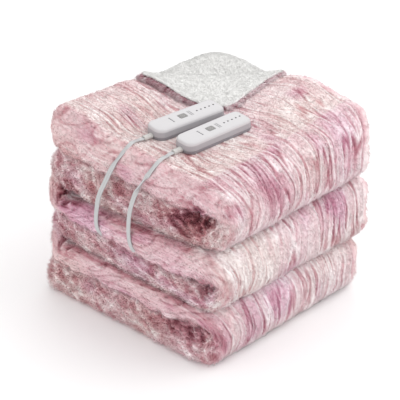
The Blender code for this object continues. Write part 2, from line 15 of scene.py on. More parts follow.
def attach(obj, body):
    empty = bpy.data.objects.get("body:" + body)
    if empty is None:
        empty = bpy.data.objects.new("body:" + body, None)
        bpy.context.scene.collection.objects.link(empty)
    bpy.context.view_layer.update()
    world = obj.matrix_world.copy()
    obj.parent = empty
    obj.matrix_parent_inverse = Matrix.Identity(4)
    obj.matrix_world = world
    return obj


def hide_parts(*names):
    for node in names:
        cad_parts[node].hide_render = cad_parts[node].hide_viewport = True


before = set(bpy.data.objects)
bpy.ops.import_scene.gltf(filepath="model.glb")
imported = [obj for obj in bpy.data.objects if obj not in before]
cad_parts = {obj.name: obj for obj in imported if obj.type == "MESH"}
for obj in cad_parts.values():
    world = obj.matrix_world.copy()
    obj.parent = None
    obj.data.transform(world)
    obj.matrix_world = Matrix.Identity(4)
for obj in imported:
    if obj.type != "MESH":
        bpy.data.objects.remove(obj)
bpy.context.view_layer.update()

BODY = "blanket"

# ---- the folded strip, as the solids have it -------------------------------------------------

LAYER_GAP = 0.0024
PLAN_LEFT, PLAN_RIGHT = -0.202, 0.178
PLAN_FRONT, PLAN_BACK = -0.1925, 0.178
# Heights at the four corners: front left, front right, back left, back right
HEIGHTS = np.array((
    (0.338, 0.347, 0.374, 0.345),      # top
    (0.280, 0.283, 0.283, 0.277),      # upper fold
    (0.219, 0.211, 0.193, 0.203),      # upper notch
    (0.148, 0.146, 0.170, 0.152),      # middle fold
    (0.106, 0.095, 0.108, 0.097),      # lower notch
    (0.072, 0.056, 0.068, 0.059),      # lower fold
    (0.000, 0.000, 0.000, 0.000),      # floor
))
FLOOR_LEVEL = len(HEIGHTS) - 1
TOP_SAG = 0.0175
SWELL, SWELL_Y, SWELL_WIDTH = 0.013, -0.074, 0.048
CREASE_DIP, DIP_FADE_MIDDLE, DIP_FADE_CORNER = 0.0065, 0.035, 0.085
PRESSED_HEIGHT, PRESSED_FADE = 0.3302, 0.070
PRESSED_MIDDLE, PRESSED_HALF = (-0.046, -0.020), (0.076, 0.062)
WAVER, WAVER_TURNS = 0.0018, Vector((34, 27))

Layer = namedtuple("Layer", "left right round_over")
LAYERS = (
    Layer(-0.196, 0.203, 0.024),
    Layer(-0.184, 0.197, 0.023),
    Layer(-0.200, 0.203, 0.016),
    Layer(-0.191, 0.199, 0.021),
    Layer(-0.203, 0.186, 0.014),
    Layer(-0.196, 0.179, 0.018),
)
EDGES = np.array(LAYERS)
Fold = namedtuple("Fold", "way tip depth pocket_height pocket_depth")
FOLDS = (
    Fold(-1, -0.206, 0.057, 0.006, 0.020),
    Fold(+1, 0.206, 0.048, 0.016, 0.014),
    Fold(-1, -0.204, 0.048, 0.006, 0.016),
    Fold(+1, 0.198, 0.040, 0.014, 0.012),
    Fold(-1, -0.197, 0.044, 0.006, 0.014),
)
FOLD = Fold(*np.array(FOLDS).T)
LAST_LAYER, LAST_FOLD = len(LAYERS) - 1, len(FOLDS) - 1
JOIN_Y = FOLD.tip - FOLD.way * FOLD.depth
TOP_END, FLOOR_END = 0.176, 0.197
# The top end's edge runs askew: this far at each end of a width of twice SKEW_HALF
TOP_END_SKEW, SKEW_HALF = -0.005, 0.2
TOP_ROUNDING, FLOOR_ROUNDING = (0.024, 0.010), (0.018, 0.004)
ROUND_SHARE, PLAN_ROUND_SHARE = 0.94, 0.96
POCKET_REACH = 0.050
HOLLOW_REACH = 0.060
HOLLOW_FRONT, HOLLOW_BACK, HOLLOW_BAND = 0.013, 0.005, 0.45
PLAN_ROUNDING, END_PLAN_ROUNDING = 0.015, 0.009
FOLD_FULLNESS = 1.15
EDGE_FULLNESS_UPPER, EDGE_FULLNESS_LOWER = 2.2, 3.0

CREASE_BACK, CREASE_RIGHT = Vector((-0.002, 0.176)), Vector((0.203, -0.012))
CORNER = Vector((0.205, 0.172))
CORNER_ROUNDING = 0.030
CREASE_INSET = 0.0045
CREASE_WAY = (CREASE_RIGHT - CREASE_BACK).normalized()
CREASE_LENGTH = (CREASE_RIGHT - CREASE_BACK).length
TO_CORNER = Vector((-CREASE_WAY.y, CREASE_WAY.x))
CORNER_ALONG = (CORNER - CREASE_BACK).dot(CREASE_WAY)
CORNER_REACH = (CORNER - CREASE_BACK).dot(TO_CORNER)
CORNER_END = CORNER_REACH - CORNER_ROUNDING * (math.sqrt(2) - 1)
FUR_PLY, LINING_PLY, PIECE_GAP, BED_GAP = 0.0045, 0.0037, 0.0003, 0.0010
PLY = FUR_PLY + PIECE_GAP + LINING_PLY
BEND_RADIUS = 0.0012
BEND_LENGTH = math.pi * BEND_RADIUS
BEND_START, BEND_FINISH = 0.018, 0.266
FLAP_START, FLAP_FINISH = -0.004, 0.262
FLAP_APEX, FLAP_APEX_REACH, FLAP_END = 0.142, 0.121, 0.1015
FLAP_TIP = BEND_LENGTH + FLAP_END * 0.9985
FlapEnd = namedtuple("FlapEnd", "reach width")
FLAP_LEFT_END, FLAP_RIGHT_END = FlapEnd(0.038, 0.034), FlapEnd(0.016, 0.012)
ROOT_STEP = 0.0010
BED_DROOP, BED_DROOP_REACH = 0.0095, 0.040
STEP_START, STEP_LENGTH = 0.004, 0.0045
LIFT_HEIGHT, LIFT_REACH, LIFT_RISE, LIFT_FALL, LIFT_END = 0.0045, 0.030, 0.02, 0.03, 0.098

# Controllers and leads
BODY_LENGTH, BODY_WIDTH, BODY_HEIGHT = 0.141, 0.045, 0.0215
PARTING_HEIGHT = 0.0070
LEAD_END_ROUNDING, FAR_END_ROUNDING = 0.0160, 0.0110
KEY_LENGTH, KEY_WIDTH, KEY_PROUD, KEY_THICKNESS = 0.0150, 0.0130, 0.0004, 0.0024
KEY_X, KEY_TRAVEL, KEY_ROUNDING = -0.006, 0.0007, 0.0020
LIGHT_COUNT, LIGHT_PITCH, FIRST_LIGHT_X = 5, 0.0087, 0.0240
GLAND_LENGTH, GLAND_HEIGHT = 0.0170, 0.0095
SEAT_GAP = 0.0009
Place = namedtuple("Place", "name x y turn")
CONTROLLERS = (
    Place("controller_1", -0.0442, 0.0115, math.radians(-9.8)),
    Place("controller_2", -0.0442, -0.0517, math.radians(-6.4)),
)
LEAD_LIFT = 0.0046
LEAD_WIDTH, LEAD_THICKNESS = 0.0084, 0.0034
LEAD_STEP, LEAD_SOFTENING, LEAD_STRAIGHT = 0.0025, 20, 0.008
LEAD_GROOVE, LEAD_GROOVE_AT, LEAD_GROOVE_WIDTH = 0.30, 0.36, 0.09
LEAD_1_ON_TOP = ((-0.1500, 0.0245), (-0.1650, 0.0165))
LEAD_1_DROP = (
    (-0.1745, 0.0128, 0.3514), (-0.1842, 0.0115, 0.3476), (-0.1935, 0.0135, 0.3412),
    (-0.1985, 0.0190, 0.3300), (-0.2010, 0.0290, 0.3130), (-0.2035, 0.0370, 0.2950),
    (-0.2045, 0.0445, 0.2775), (-0.2045, 0.0595, 0.2465), (-0.2045, 0.0655, 0.2190),
    (-0.2045, 0.0685, 0.1930), (-0.2040, 0.0665, 0.1765), (-0.2010, 0.0610, 0.1670),
    (-0.1945, 0.0550, 0.1630),
)
LEAD_2_ON_TOP = ((-0.1500, -0.0465), (-0.1670, -0.0525))
LEAD_2_DROP = (
    (-0.1775, -0.0552, 0.3464), (-0.1872, -0.0558, 0.3423), (-0.1962, -0.0535, 0.3345),
    (-0.2004, -0.0475, 0.3215), (-0.2025, -0.0390, 0.3090), (-0.2042, -0.0310, 0.2950),
    (-0.2045, -0.0220, 0.2755), (-0.2045, -0.0125, 0.2465), (-0.2045, -0.0085, 0.2200),
    (-0.2045, -0.0080, 0.1945), (-0.2045, -0.0110, 0.1785), (-0.2020, -0.0160, 0.1660),
    (-0.1955, -0.0215, 0.1600),
)

# Which way each lead's flat face looks, at shares of its length
LEAD_1_TURNS = ((0.0, (0, 0, 1)), (0.30, (-0.3, 0, 1)), (0.45, (-1, -0.5, 0.3)), (1.0, (-1, 0, 0)))
LEAD_2_TURNS = ((0.0, (0, 0, 1)), (0.24, (-0.2, 0, 1)), (0.40, (0.2, -1.0, 0.4)),
                (0.56, (-1, -0.1, 0)), (1.0, (-1, 0, 0)))

# ---- how the plush panel is laid out -----------------------------------------------------------

# Round the strip: the first side, the right edge, the second side, the left edge
SIDE_RUN, EDGE_RUN = 0.365, 0.075
PERIMETER = 2 * (SIDE_RUN + EDGE_RUN)
# Along the strip: the top end's cap, six layers with five bends between them, the floor end's cap
CAP_RUN, CAP_DEPTH, CAP_TIP = 0.030, 0.006, 0.9999
RUNS = (CAP_RUN, 0.325, 0.200, 0.307, 0.185, 0.314, 0.165, 0.314, 0.125, 0.311, 0.155, 0.350,
        CAP_RUN)
RUN_ENDS = np.concatenate(([0.0], np.cumsum(RUNS)))
# The panel's coarse grid, which is cut finer where it shows: creases run along the strip, so its
# cells are long
CELL_AROUND, CELL_ALONG = 0.0116, 0.0230
COLUMNS = round(PERIMETER / CELL_AROUND)
# The grid starts this far round, so that the corners of each cap's two halves meet
GRID_START = ((2 * SIDE_RUN + EDGE_RUN) % (PERIMETER / COLUMNS)) / 2


def mix(a, b, t):
    """a where t is 0, b where t is 1, and between them in between."""
    return a + (b - a) * t


def ease(t):
    """A smooth step from 0 to 1."""
    t = np.clip(t, 0.0, 1.0)
    return t * t * (3 - 2 * t)


def hill(value, width):
    """1 where a value is 0, falling away on both sides."""
    return np.exp(-(value / width) ** 2)


# ---- noise over the cloth ----------------------------------------------------------------------

SCRAMBLE_X, SCRAMBLE_Y, SCRAMBLE_SEED, SCRAMBLE = 374761393, 668265263, 974634777, 1274126177
WORD = 0xFFFFFFFF
DIRECTIONS = 4096
NOISE_REACH = 1.5


def noise(x, y, seed, period=None):
    """Smooth noise, about -1 to 1, at arrays of places; period repeats it along x."""
    cell_x, cell_y = np.floor(x).astype(np.int64), np.floor(y).astype(np.int64)
    in_x, in_y = x - cell_x, y - cell_y

    def corner(dx, dy):
        column = cell_x + dx
        if period:
            column = column % period
        key = (column * SCRAMBLE_X + (cell_y + dy) * SCRAMBLE_Y + seed * SCRAMBLE_SEED) & WORD
        key = ((key ^ (key >> 13)) * SCRAMBLE) & WORD
        angle = ((key ^ (key >> 16)) & (DIRECTIONS - 1)) * (2 * math.pi / DIRECTIONS)
        return np.cos(angle) * (in_x - dx) + np.sin(angle) * (in_y - dy)

    u = in_x ** 3 * (in_x * (in_x * 6 - 15) + 10)
    v = in_y ** 3 * (in_y * (in_y * 6 - 15) + 10)
    low, high = mix(corner(0, 0), corner(1, 0), u), mix(corner(0, 1), corner(1, 1), u)
    return NOISE_REACH * mix(low, high, v)


Pattern = namedtuple("Pattern", "cell_around cell_run seed lean", defaults=(0,))


def pattern(kind, around, run):
    """A pattern's noise over the strip, which closes on itself round it. lean slants it."""
    period = max(1, round(PERIMETER / kind.cell_around))
    across = (around + kind.lean * run) / PERIMETER * period
    return noise(across, run / kind.cell_run, kind.seed, period)


# The ruching: how it drifts and where it is calm, then its two sizes of crease
DRIFT, FINE_DRIFT = Pattern(0.15, 0.17, 1), Pattern(0.050, 0.055, 2)
CALM = Pattern(0.08, 0.10, 5)
CreaseSize = namedtuple("CreaseSize", "field fade width calmed")
CREASE_SIZES = (
    CreaseSize(Pattern(0.021, 0.17, 3), Pattern(0.030, 0.060, 53), 0.085, 0.25),
    CreaseSize(Pattern(0.0120, 0.10, 4), Pattern(0.030, 0.060, 54), 0.15, 0.70),
)
# The cloth's swell, its slanting ridges and its wavy side edges
BROAD_SWELL, FUR_LUMPS = Pattern(0.055, 0.075, 6), Pattern(0.011, 0.014, 8)
FUR_RIDGES = Pattern(0.021, 0.030, 7, 0.7)
CROSSING, WAVY_EDGE = Pattern(0.034, 0.060, 25, -0.8), Pattern(0.050, 0.022, 27)
# The curl's waver, and the raggedness of the painted shade in the folds' hollow ends
CURL_WAVER, RAGGED_SHADE = Pattern(0.020, 0.020, 24), Pattern(0.009, 0.016, 26)
# The dye, and the ragged edges of the dye patches and of the painted shade patches
BROAD_TONE, MIDDLE_TONE = Pattern(0.11, 0.13, 11), Pattern(0.035, 0.055, 12)
STREAK, GRAIN = Pattern(0.0040, 0.050, 13), Pattern(0.005, 0.006, 14)
MOTTLE, STAIN = Pattern(0.020, 0.030, 15, 0.6), Pattern(0.055, 0.080, 17)
BROAD_LILAC = Pattern(0.16, 0.14, 16)
DYE_AND_SHADE_EDGE, FINE_DYE_AND_SHADE_EDGE = Pattern(0.020, 0.035, 18), Pattern(0.006, 0.030, 19)
# The pile's lie
SWIRL, FINE_SWIRL = Pattern(0.028, 0.050, 21), Pattern(0.008, 0.014, 22)
STANDING = Pattern(0.006, 0.010, 23)


# ---- the folded shape, worked out for whole arrays of places -----------------------------------

def beyond_crease(x, y):
    """How far a place lies beyond the crease, towards the corner."""
    return (x - CREASE_BACK.x) * TO_CORNER.x + (y - CREASE_BACK.y) * TO_CORNER.y


def level_height(level, x, y):
    """Height of the face between two layers, or of the top or the floor."""
    x, y = np.asarray(x, float), np.asarray(y, float)
    level = np.broadcast_to(level, x.shape)
    u = np.clip((x - PLAN_LEFT) / (PLAN_RIGHT - PLAN_LEFT), 0, 1)
    v = np.clip((y - PLAN_FRONT) / (PLAN_BACK - PLAN_FRONT), 0, 1)
    corner = HEIGHTS[level]
    height = mix(mix(corner[..., 0], corner[..., 1], u), mix(corner[..., 2], corner[..., 3], u), v)
    top = height - TOP_SAG * 16 * u * (1 - u) * v * (1 - v)
    top = top + SWELL * u * u * hill(y - SWELL_Y, SWELL_WIDTH)
    beyond = beyond_crease(x, y)
    fade = np.where(beyond > 0, DIP_FADE_CORNER, DIP_FADE_MIDDLE)
    top = top - CREASE_DIP * ease(1 - np.abs(beyond) / fade)
    away = np.hypot(*(np.maximum(np.abs(place - middle) - half, 0) for place, middle, half
                      in zip((x, y), PRESSED_MIDDLE, PRESSED_HALF)))
    top = mix(top, PRESSED_HEIGHT, ease(1 - away / PRESSED_FADE))
    between = (height + WAVER * np.sin(WAVER_TURNS.x * x + 1.7 * level)
               * np.cos(WAVER_TURNS.y * y + 0.9 * level))
    return np.where(level == 0, top, np.where(level == FLOOR_LEVEL, height, between))


def side_height(layer, side, x, y):
    """Height of a layer's upper (+1) or lower (-1) face."""
    level = layer + (side < 0)
    height = level_height(level, x, y)
    fold = np.clip(level - 1, 0, LAST_FOLD)
    closeness = ease(1 - (JOIN_Y[fold] - y) * FOLD.way[fold] / POCKET_REACH)
    half_gap = mix(LAYER_GAP, FOLD.pocket_height[fold], closeness) / 2
    height = height - np.where((level > 0) & (level < FLOOR_LEVEL), side * half_gap, 0)
    for end_layer, end, rounding in ((0, TOP_END, TOP_ROUNDING),
                                     (LAST_LAYER, FLOOR_END, FLOOR_ROUNDING)):
        radius = np.where(side > 0, *rounding)
        reach = np.clip((y - end + radius) / radius, 0, 1)
        drop = radius * (1 - np.sqrt(1 - ROUND_SHARE * reach * reach))
        height = height - np.where(layer == end_layer, side * drop, 0)
    return height


# Where each layer starts and ends along y
RUN_STARTS, RUN_FINISHES = np.array((TOP_END, *JOIN_Y)), np.array((*JOIN_Y, FLOOR_END))


Spot = namedtuple("Spot", "layer bend share cap y")


def strip_place(run):
    """Where a place along the strip lies: its layer, or the layer above where it bends, the share
    of that layer or bend, the share of an end's cap, and y."""
    last = len(RUNS) - 1
    segment = np.clip(np.searchsorted(RUN_ENDS, run, side="right") - 1, 0, last)
    share = np.clip((run - RUN_ENDS[segment]) / np.array(RUNS)[segment], 0, 1)
    cap = np.where(segment == 0, 1 - share, np.where(segment == last, share, 0.0))
    number = np.clip(segment - 1, 0, 2 * len(FOLDS))
    layer, bend = number // 2, number % 2 == 1
    share = np.where(segment == 0, 0.0, np.where(segment == last, 1.0, share))
    return Spot(layer, bend, share, cap, mix(RUN_STARTS[layer], RUN_FINISHES[layer], share))


def strip_faces(spot, x):
    """Points on the strip's first side (up on the top layer) and second side."""
    layer, bend, share, _, y = spot
    up = np.where(layer % 2 == 0, 1, -1)
    flat_first, flat_second = side_height(layer, up, x, y), side_height(layer, -up, x, y)
    flat_y = y + np.where(layer == 0, TOP_END_SKEW * x / SKEW_HALF * (1 - share), 0)
    fold = np.minimum(layer, LAST_FOLD)
    join, way = JOIN_Y[fold], FOLD.way[fold]
    angle = math.pi * (0.5 - share)
    outward, upward = np.maximum(np.cos(angle), 0), np.sin(angle)
    below = np.minimum(layer + 1, LAST_LAYER)
    outer_high, outer_low = side_height(layer, 1, x, join), side_height(below, -1, x, join)
    inner_high, inner_low = side_height(layer, -1, x, join), side_height(below, 1, x, join)
    full_out = outward ** (1 / FOLD_FULLNESS)
    full_up = np.sign(upward) * np.abs(upward) ** (1 / FOLD_FULLNESS)
    outer_y = join + way * FOLD.depth[fold] * full_out
    outer_z = mix(outer_low, outer_high, (1 + full_up) / 2)
    inner_y = join + way * FOLD.pocket_depth[fold] * outward
    inner_z = mix(inner_low, inner_high, (1 + upward) / 2)
    front = way < 0
    first = (np.where(bend, np.where(front, outer_y, inner_y), flat_y),
             np.where(bend, np.where(front, outer_z, inner_z), flat_first))
    second = (np.where(bend, np.where(front, inner_y, outer_y), flat_y),
              np.where(bend, np.where(front, inner_z, outer_z), flat_second))
    return first, second


def hollow_of(spot, way):
    """How far the side that lies inside a fold pointing this way is drawn in, at the edges."""
    amount = HOLLOW_FRONT if way < 0 else HOLLOW_BACK
    flat = np.zeros_like(spot.y)
    for step in (-1, 0):
        near = spot.layer + step
        index = np.clip(near, 0, LAST_FOLD)
        meets = (near == index) & (FOLD.way[index] == way)
        closeness = ease(1 - np.abs(spot.y - JOIN_Y[index]) / HOLLOW_REACH)
        flat = np.where(meets, amount * closeness, flat)
    same_way = FOLD.way[np.minimum(spot.layer, LAST_FOLD)] == way
    return np.where(spot.bend, np.where(same_way, amount, 0.0), flat)


def plan_inset(spot):
    """How far the side edges are drawn in round each fold's nose and at the strip's two ends."""
    outward = np.where(spot.bend, np.cos(math.pi * (0.5 - spot.share)), 0)
    inset = PLAN_ROUNDING * (1 - np.sqrt(np.maximum(1 - outward * outward, 0)))
    for end_layer, end in ((0, TOP_END), (LAST_LAYER, FLOOR_END)):
        near = np.maximum(1 - np.abs(spot.y - end) / END_PLAN_ROUNDING, 0)
        drawn = END_PLAN_ROUNDING * (1 - np.sqrt(1 - PLAN_ROUND_SHARE * near * near))
        inset = np.where((spot.layer == end_layer) & ~spot.bend, drawn, inset)
    return inset


def side_share(around):
    """w is 1 on the first side and -1 on the second; outward is +1 on the right edge, -1 left."""
    right = np.clip((around - SIDE_RUN) / EDGE_RUN, 0, 1)
    left = np.clip((around - 2 * SIDE_RUN - EDGE_RUN) / EDGE_RUN, 0, 1)
    w = np.where(around <= SIDE_RUN + EDGE_RUN, 1 - 2 * right, -1 + 2 * left)
    outward = np.where((right > 0) & (right < 1), 1, np.where((left > 0) & (left < 1), -1, 0))
    return w, outward


def strip_point(around, run):
    """Points of the folded cloth at places round and along the strip."""
    spot = strip_place(run)
    layer, bend, share, cap, _ = spot
    below = np.minimum(layer + 1, LAST_LAYER)
    blend = np.where(bend, ease(share), 0)[:, None]
    left, right, round_over = mix(EDGES[layer], EDGES[below], blend).T
    w, outward = side_share(around)
    inset = round_over + plan_inset(spot)
    for way in (-1, 1):
        inset = inset + hollow_of(spot, way) * ease((HOLLOW_BAND + way * w) / (1 + HOLLOW_BAND))
    on_first = np.clip(around / SIDE_RUN, 0, 1)
    on_second = np.clip((around - SIDE_RUN - EDGE_RUN) / SIDE_RUN, 0, 1)
    going_right = np.where(around <= SIDE_RUN + EDGE_RUN, on_first, 1 - on_second)
    x = mix(left + inset, right - inset, going_right)
    (first_y, first_z), (second_y, second_z) = strip_faces(spot, x)
    y, z = mix(second_y, first_y, (w + 1) / 2), mix(second_z, first_z, (w + 1) / 2)
    upper = (w > 0) == (layer % 2 == 0)
    full = mix(np.where(upper, EDGE_FULLNESS_UPPER, EDGE_FULLNESS_LOWER), EDGE_FULLNESS_UPPER, cap)
    x = x + outward * round_over * np.maximum(1 - np.abs(w) ** full, 0) ** (1 / full)
    middle = (first_z + second_z) / 2
    shrink = np.where(cap > CAP_TIP, 0.0, np.sqrt(np.maximum(1 - cap ** 2, 0)))
    z = np.where(cap > 0, middle + (z - middle) * shrink, z)
    y = y + cap * CAP_DEPTH
    return np.stack((x, y, z), -1)


def bed_droop(x, y):
    """How far the turned corner's bed hangs down near the top layer's back and right edges."""
    left_back = TOP_END + TOP_END_SKEW * x / SKEW_HALF - y
    left_right = LAYERS[0].right - x
    return sum(BED_DROOP * np.clip(1 - left / BED_DROOP_REACH, 0, 1) ** 2
               for left in (left_back, left_right))


def corner_drop(x, y):
    """How far the turned corner's bed lies under the top, beyond the crease."""
    beyond = beyond_crease(x, y)
    step = ease((beyond + STEP_START) / STEP_LENGTH)
    return step * (PLY + LINING_PLY + BED_GAP + np.where(beyond > 0, bed_droop(x, y), 0))


# ---- where the cloth shows, and what it looks like there ---------------------------------------

Look = namedtuple("Look", "fine coarse")
# How far the cloth shows past the side edges, and from which y on between the layers
LEFT_MARGIN, RIGHT_MARGIN = 0.030, 0.012
FRONT_SHOWS, BACK_SHOWS, FLOOR_END_SHOWS = -0.136, 0.140, 0.17
CREVICE_FADE = 0.030


def topmost(spot, around):
    """Where the panel is the stack's top."""
    return (spot.layer == 0) & ~spot.bend & (around < SIDE_RUN)


def seen(around, run):
    """Where the panel shows from the front, and where it shows at all."""
    spot = strip_place(run)
    layer, bend, _, cap, y = spot
    first = around < SIDE_RUN
    second = (around > SIDE_RUN + EDGE_RUN) & (around < 2 * SIDE_RUN + EDGE_RUN)
    near_left = (around > PERIMETER - EDGE_RUN - LEFT_MARGIN) | (around < LEFT_MARGIN)
    near_right = ((around > SIDE_RUN - RIGHT_MARGIN)
                  & (around < SIDE_RUN + EDGE_RUN + RIGHT_MARGIN))
    front_fold = bend & (FOLD.way[np.minimum(layer, LAST_FOLD)] < 0)
    back_fold = bend & ~front_fold
    capped = cap > 0
    near_front = ~bend & (layer > 0) & (y < FRONT_SHOWS)
    near_back = ~bend & (layer > 0) & (y > BACK_SHOWS) & (layer < LAST_LAYER)
    fine = first & ((topmost(spot, around) & ~capped) | front_fold | near_front) | near_left
    coarse = (second & (back_fold | near_back)) | near_right | capped
    coarse |= first & (layer == LAST_LAYER) & (y > FLOOR_END_SHOWS) & ~bend
    return Look(fine, fine | coarse)


def furriness(around, run):
    """1 on the side edges of every second layer, whose pile stands up, and 0 elsewhere."""
    layer, bend, share, _, _ = strip_place(run)
    turning = mix(layer % 2, (layer + 1) % 2, ease((share - 0.3) / 0.4))
    odd = np.where(bend, turning, layer % 2)
    w, outward = side_share(around)
    return odd * ease((1 - np.abs(w)) / 0.25) * (outward != 0)


# How strongly each fold's hollow end curls, sinks and is painted with shade, from the top fold
# down, and how far along it reaches
RECESS_DEPTHS = (0.68, 0.70, 0.32, 0.56, 0.55)
RECESS_REACH = 0.050


def in_recess(around, run):
    """1 deep in the ends of the front folds and in the pockets at the back folds."""
    layer, bend, _, _, y = strip_place(run)
    w, outward = side_share(around)
    amount = np.zeros_like(y)
    for index, (way, depth) in enumerate(zip(FOLD.way, RECESS_DEPTHS)):
        inner = ease((0.10 - w) / 0.8) if way < 0 else ease((0.05 + w) / 0.7)
        closeness = ease(1 - np.abs(y - JOIN_Y[index]) / RECESS_REACH)
        beside = (layer == index) | (layer == index + 1)
        near = np.where(bend, layer == index, np.where(beside, closeness, 0))
        amount = np.maximum(amount, depth * inner * near)
    return amount * (outward != 0)


def in_crevice(around, run):
    """1 where the cloth turns in between two layers at a side edge, where the plush gets painted
    shade.
    """
    layer, bend, _, _, y = strip_place(run)
    w, _ = side_share(around)
    from_fold = np.minimum(np.abs(y - RUN_STARTS[layer]), np.abs(y - RUN_FINISHES[layer]))
    covered = ~bend & ((layer > 0) | (w < 0))
    turned_in = ease((np.abs(w) - 0.70) / 0.25)
    return np.where(covered, turned_in * ease(from_fold / CREVICE_FADE), 0.0)


# Where the dye is stronger or another colour, and where shade is painted by the hollow ends: round
# and along the strip, how far it reaches each way, how much darker the cloth is there, and how
# much more lilac
TonePatch = namedtuple("TonePatch", "around run reach_around reach_run darker lilac")
DYE_AND_SHADE_PATCHES = tuple(TonePatch(*row) for row in (
    (0.306, 0.399, 0.022, 0.040, 0.03, 0.45),       # right of the top fold's nose
    (0.097, 0.412, 0.016, 0.036, 0.24, 0.25),       # left of the top fold's nose
    (0.130, 0.455, 0.020, 0.030, 0.10, 0.20),
    (0.215, 0.300, 0.018, 0.045, 0.08, 0.20),
    (0.285, 1.411, 0.022, 0.026, 0.15, 0.45),       # right of the middle fold's nose
    (0.160, 2.330, 0.022, 0.028, 0.12, 0.60),       # middle of the lower fold's nose
    (0.074, 2.340, 0.022, 0.045, 0.12, 0.35),
    (0.866, 2.336, 0.018, 0.036, 0.18, 0.40),
    (0.850, 1.093, 0.030, 0.045, 0.04, 0.80),       # left side
    (0.840, 1.659, 0.022, 0.040, 0.02, 0.75),
    # The next three rows are painted shade beside the top and the lower folds' hollow ends
    (0.822, 0.572, 0.024, 0.034, 0.24, 0.00),       # beside the top fold's hollow end
    (0.843, 0.606, 0.022, 0.040, 0.16, 0.00),
    (0.813, 2.482, 0.022, 0.030, 0.22, 0.00),       # beside the lower fold's hollow end
    (0.832, 0.779, 0.026, 0.050, 0.08, 0.00),
    (0.056, 1.418, 0.050, 0.070, -0.05, -0.35),     # cream on the middle fold's nose
    (0.020, 0.110, 0.060, 0.090, -0.02, -0.10),     # cream on the top's left
))


DYE_AND_SHADE_STRENGTH, DYE_AND_SHADE_FADE, DYE_AND_SHADE_RAGGED, DYE_AND_SHADE_FRAYED = 1.15, 0.5, 0.24, 0.18


def dye_and_shade(around, run):
    """How much darker, and how much more lilac, the dye and the painted shade beside the hollow
    ends make each place.
    """
    ragged = (DYE_AND_SHADE_RAGGED * pattern(DYE_AND_SHADE_EDGE, around, run)
              + DYE_AND_SHADE_FRAYED * pattern(FINE_DYE_AND_SHADE_EDGE, around, run))
    darker, lilac = np.zeros_like(around), np.zeros_like(around)
    for tone_patch in DYE_AND_SHADE_PATCHES:
        apart = np.abs(around - tone_patch.around)
        apart = np.minimum(apart, PERIMETER - apart)
        away = np.hypot(apart / tone_patch.reach_around, (run - tone_patch.run) / tone_patch.reach_run)
        amount = ease(DYE_AND_SHADE_STRENGTH - DYE_AND_SHADE_FADE * away + ragged)
        darker, lilac = darker + tone_patch.darker * amount, lilac + tone_patch.lilac * amount
    return darker, lilac


Creases = namedtuple("Creases", "ridge groove")
DRIFT_REACH, FINE_DRIFT_REACH = 0.015, 0.0050
# A groove lies this many ridge widths beside its ridge, and is this much wider
GROOVE_AWAY, GROOVE_SPREAD = 2.1, 1.15
# The curl's middle, as a share of the fold's depth, and how far apart its ridges lie
CURL_MIDDLE, CURL_PITCH = 0.42, 0.0032


def creases(around, run):
    """The ruching's thin ridges and the grooves beside them, 0 to 1."""
    drift = (DRIFT_REACH * pattern(DRIFT, around, run)
             + FINE_DRIFT_REACH * pattern(FINE_DRIFT, around, run))
    moved = (around + drift) % PERIMETER
    calm = ease(0.5 + 1.1 * pattern(CALM, around, run))
    ridge, groove = np.zeros_like(around), np.zeros_like(around)
    for size in CREASE_SIZES:
        field = pattern(size.field, moved, run)
        strength = (1 - size.calmed * calm) * ease(0.80 + 1.0 * pattern(size.fade, around, run))
        ridge = np.maximum(ridge, strength * hill(field, size.width))
        groove = np.maximum(groove, strength * hill(field - GROOVE_AWAY * size.width,
                                                    GROOVE_SPREAD * size.width))
    return Creases(ridge, groove)


def curl(points, around, run):
    """Ridges of cloth that wind round the middle of a front fold's end, 0 to 1."""
    layer = strip_place(run).layer
    found = np.zeros(len(points))
    for index in (0, 2, 4):
        near = (layer == index) | (layer == index + 1)
        middle_y = JOIN_Y[index] + FOLD.way[index] * FOLD.depth[index] * CURL_MIDDLE
        middle_z = level_height(index + 1, points[:, 0], np.full(len(points), JOIN_Y[index]))
        y, z = points[:, 1] - middle_y, points[:, 2] - middle_z
        angle, reach = np.arctan2(z, y), np.hypot(y, z)
        wave = 0.5 + 0.5 * np.sin(2 * angle + reach / CURL_PITCH + 1.3 * index
                                  + 2.2 * pattern(CURL_WAVER, around, run))
        found = np.where(near, wave ** 2, found)
    return found


# ---- mesh helpers --------------------------------------------------------------------------------

WELD = 0.00005


def place_mesh(name, bm, material):
    """A piece from a bmesh, smooth all over, with its object at the origin."""
    mesh = bpy.data.meshes.new(name)
    bm.to_mesh(mesh)
    bm.free()
    mesh.materials.append(material)
    mesh.shade_smooth()
    made = bpy.data.objects.new(name, mesh)
    bpy.context.collection.objects.link(made)
    return made


def points_of(mesh, what="co"):
    """Each vertex's place, or its normal."""
    found = np.empty(len(mesh.vertices) * 3)
    mesh.vertices.foreach_get(what, found)
    return found.reshape(-1, 3)


def move_points(mesh, points):
    """Puts each vertex at its new place."""
    mesh.vertices.foreach_set("co", points.ravel())
    mesh.update()


def write_value(mesh, name, values):
    """A value kept at each vertex, which a material can read."""
    attribute = mesh.attributes.get(name) or mesh.attributes.new(name, "FLOAT", "POINT")
    attribute.data.foreach_set("value", np.asarray(values, np.float32))


def read_value(mesh, name):
    """A value kept at each vertex."""
    found = np.empty(len(mesh.vertices))
    mesh.attributes[name].data.foreach_get("value", found)
    return found


def corner_vertices(mesh):
    """The vertex at each face corner."""
    found = np.empty(len(mesh.loops), int)
    mesh.loops.foreach_get("vertex_index", found)
    return found


def write_corners(mesh, across, along):
    """The baking map from one place per face corner."""
    layer = mesh.uv_layers.new(name="OFBake")
    layer.data.foreach_set("uv", np.stack((across, along), -1).ravel())


def write_map(mesh, across, along):
    """The baking map from one place per vertex."""
    corners = corner_vertices(mesh)
    write_corners(mesh, across[corners], along[corners])


def triangles_of(mesh):
    """The mesh's triangles, as rows of three vertices."""
    mesh.calc_loop_triangles()
    found = np.empty(len(mesh.loop_triangles) * 3, int)
    mesh.loop_triangles.foreach_get("vertices", found)
    return found.reshape(-1, 3)


# ---- the plush panel -----------------------------------------------------------------------------

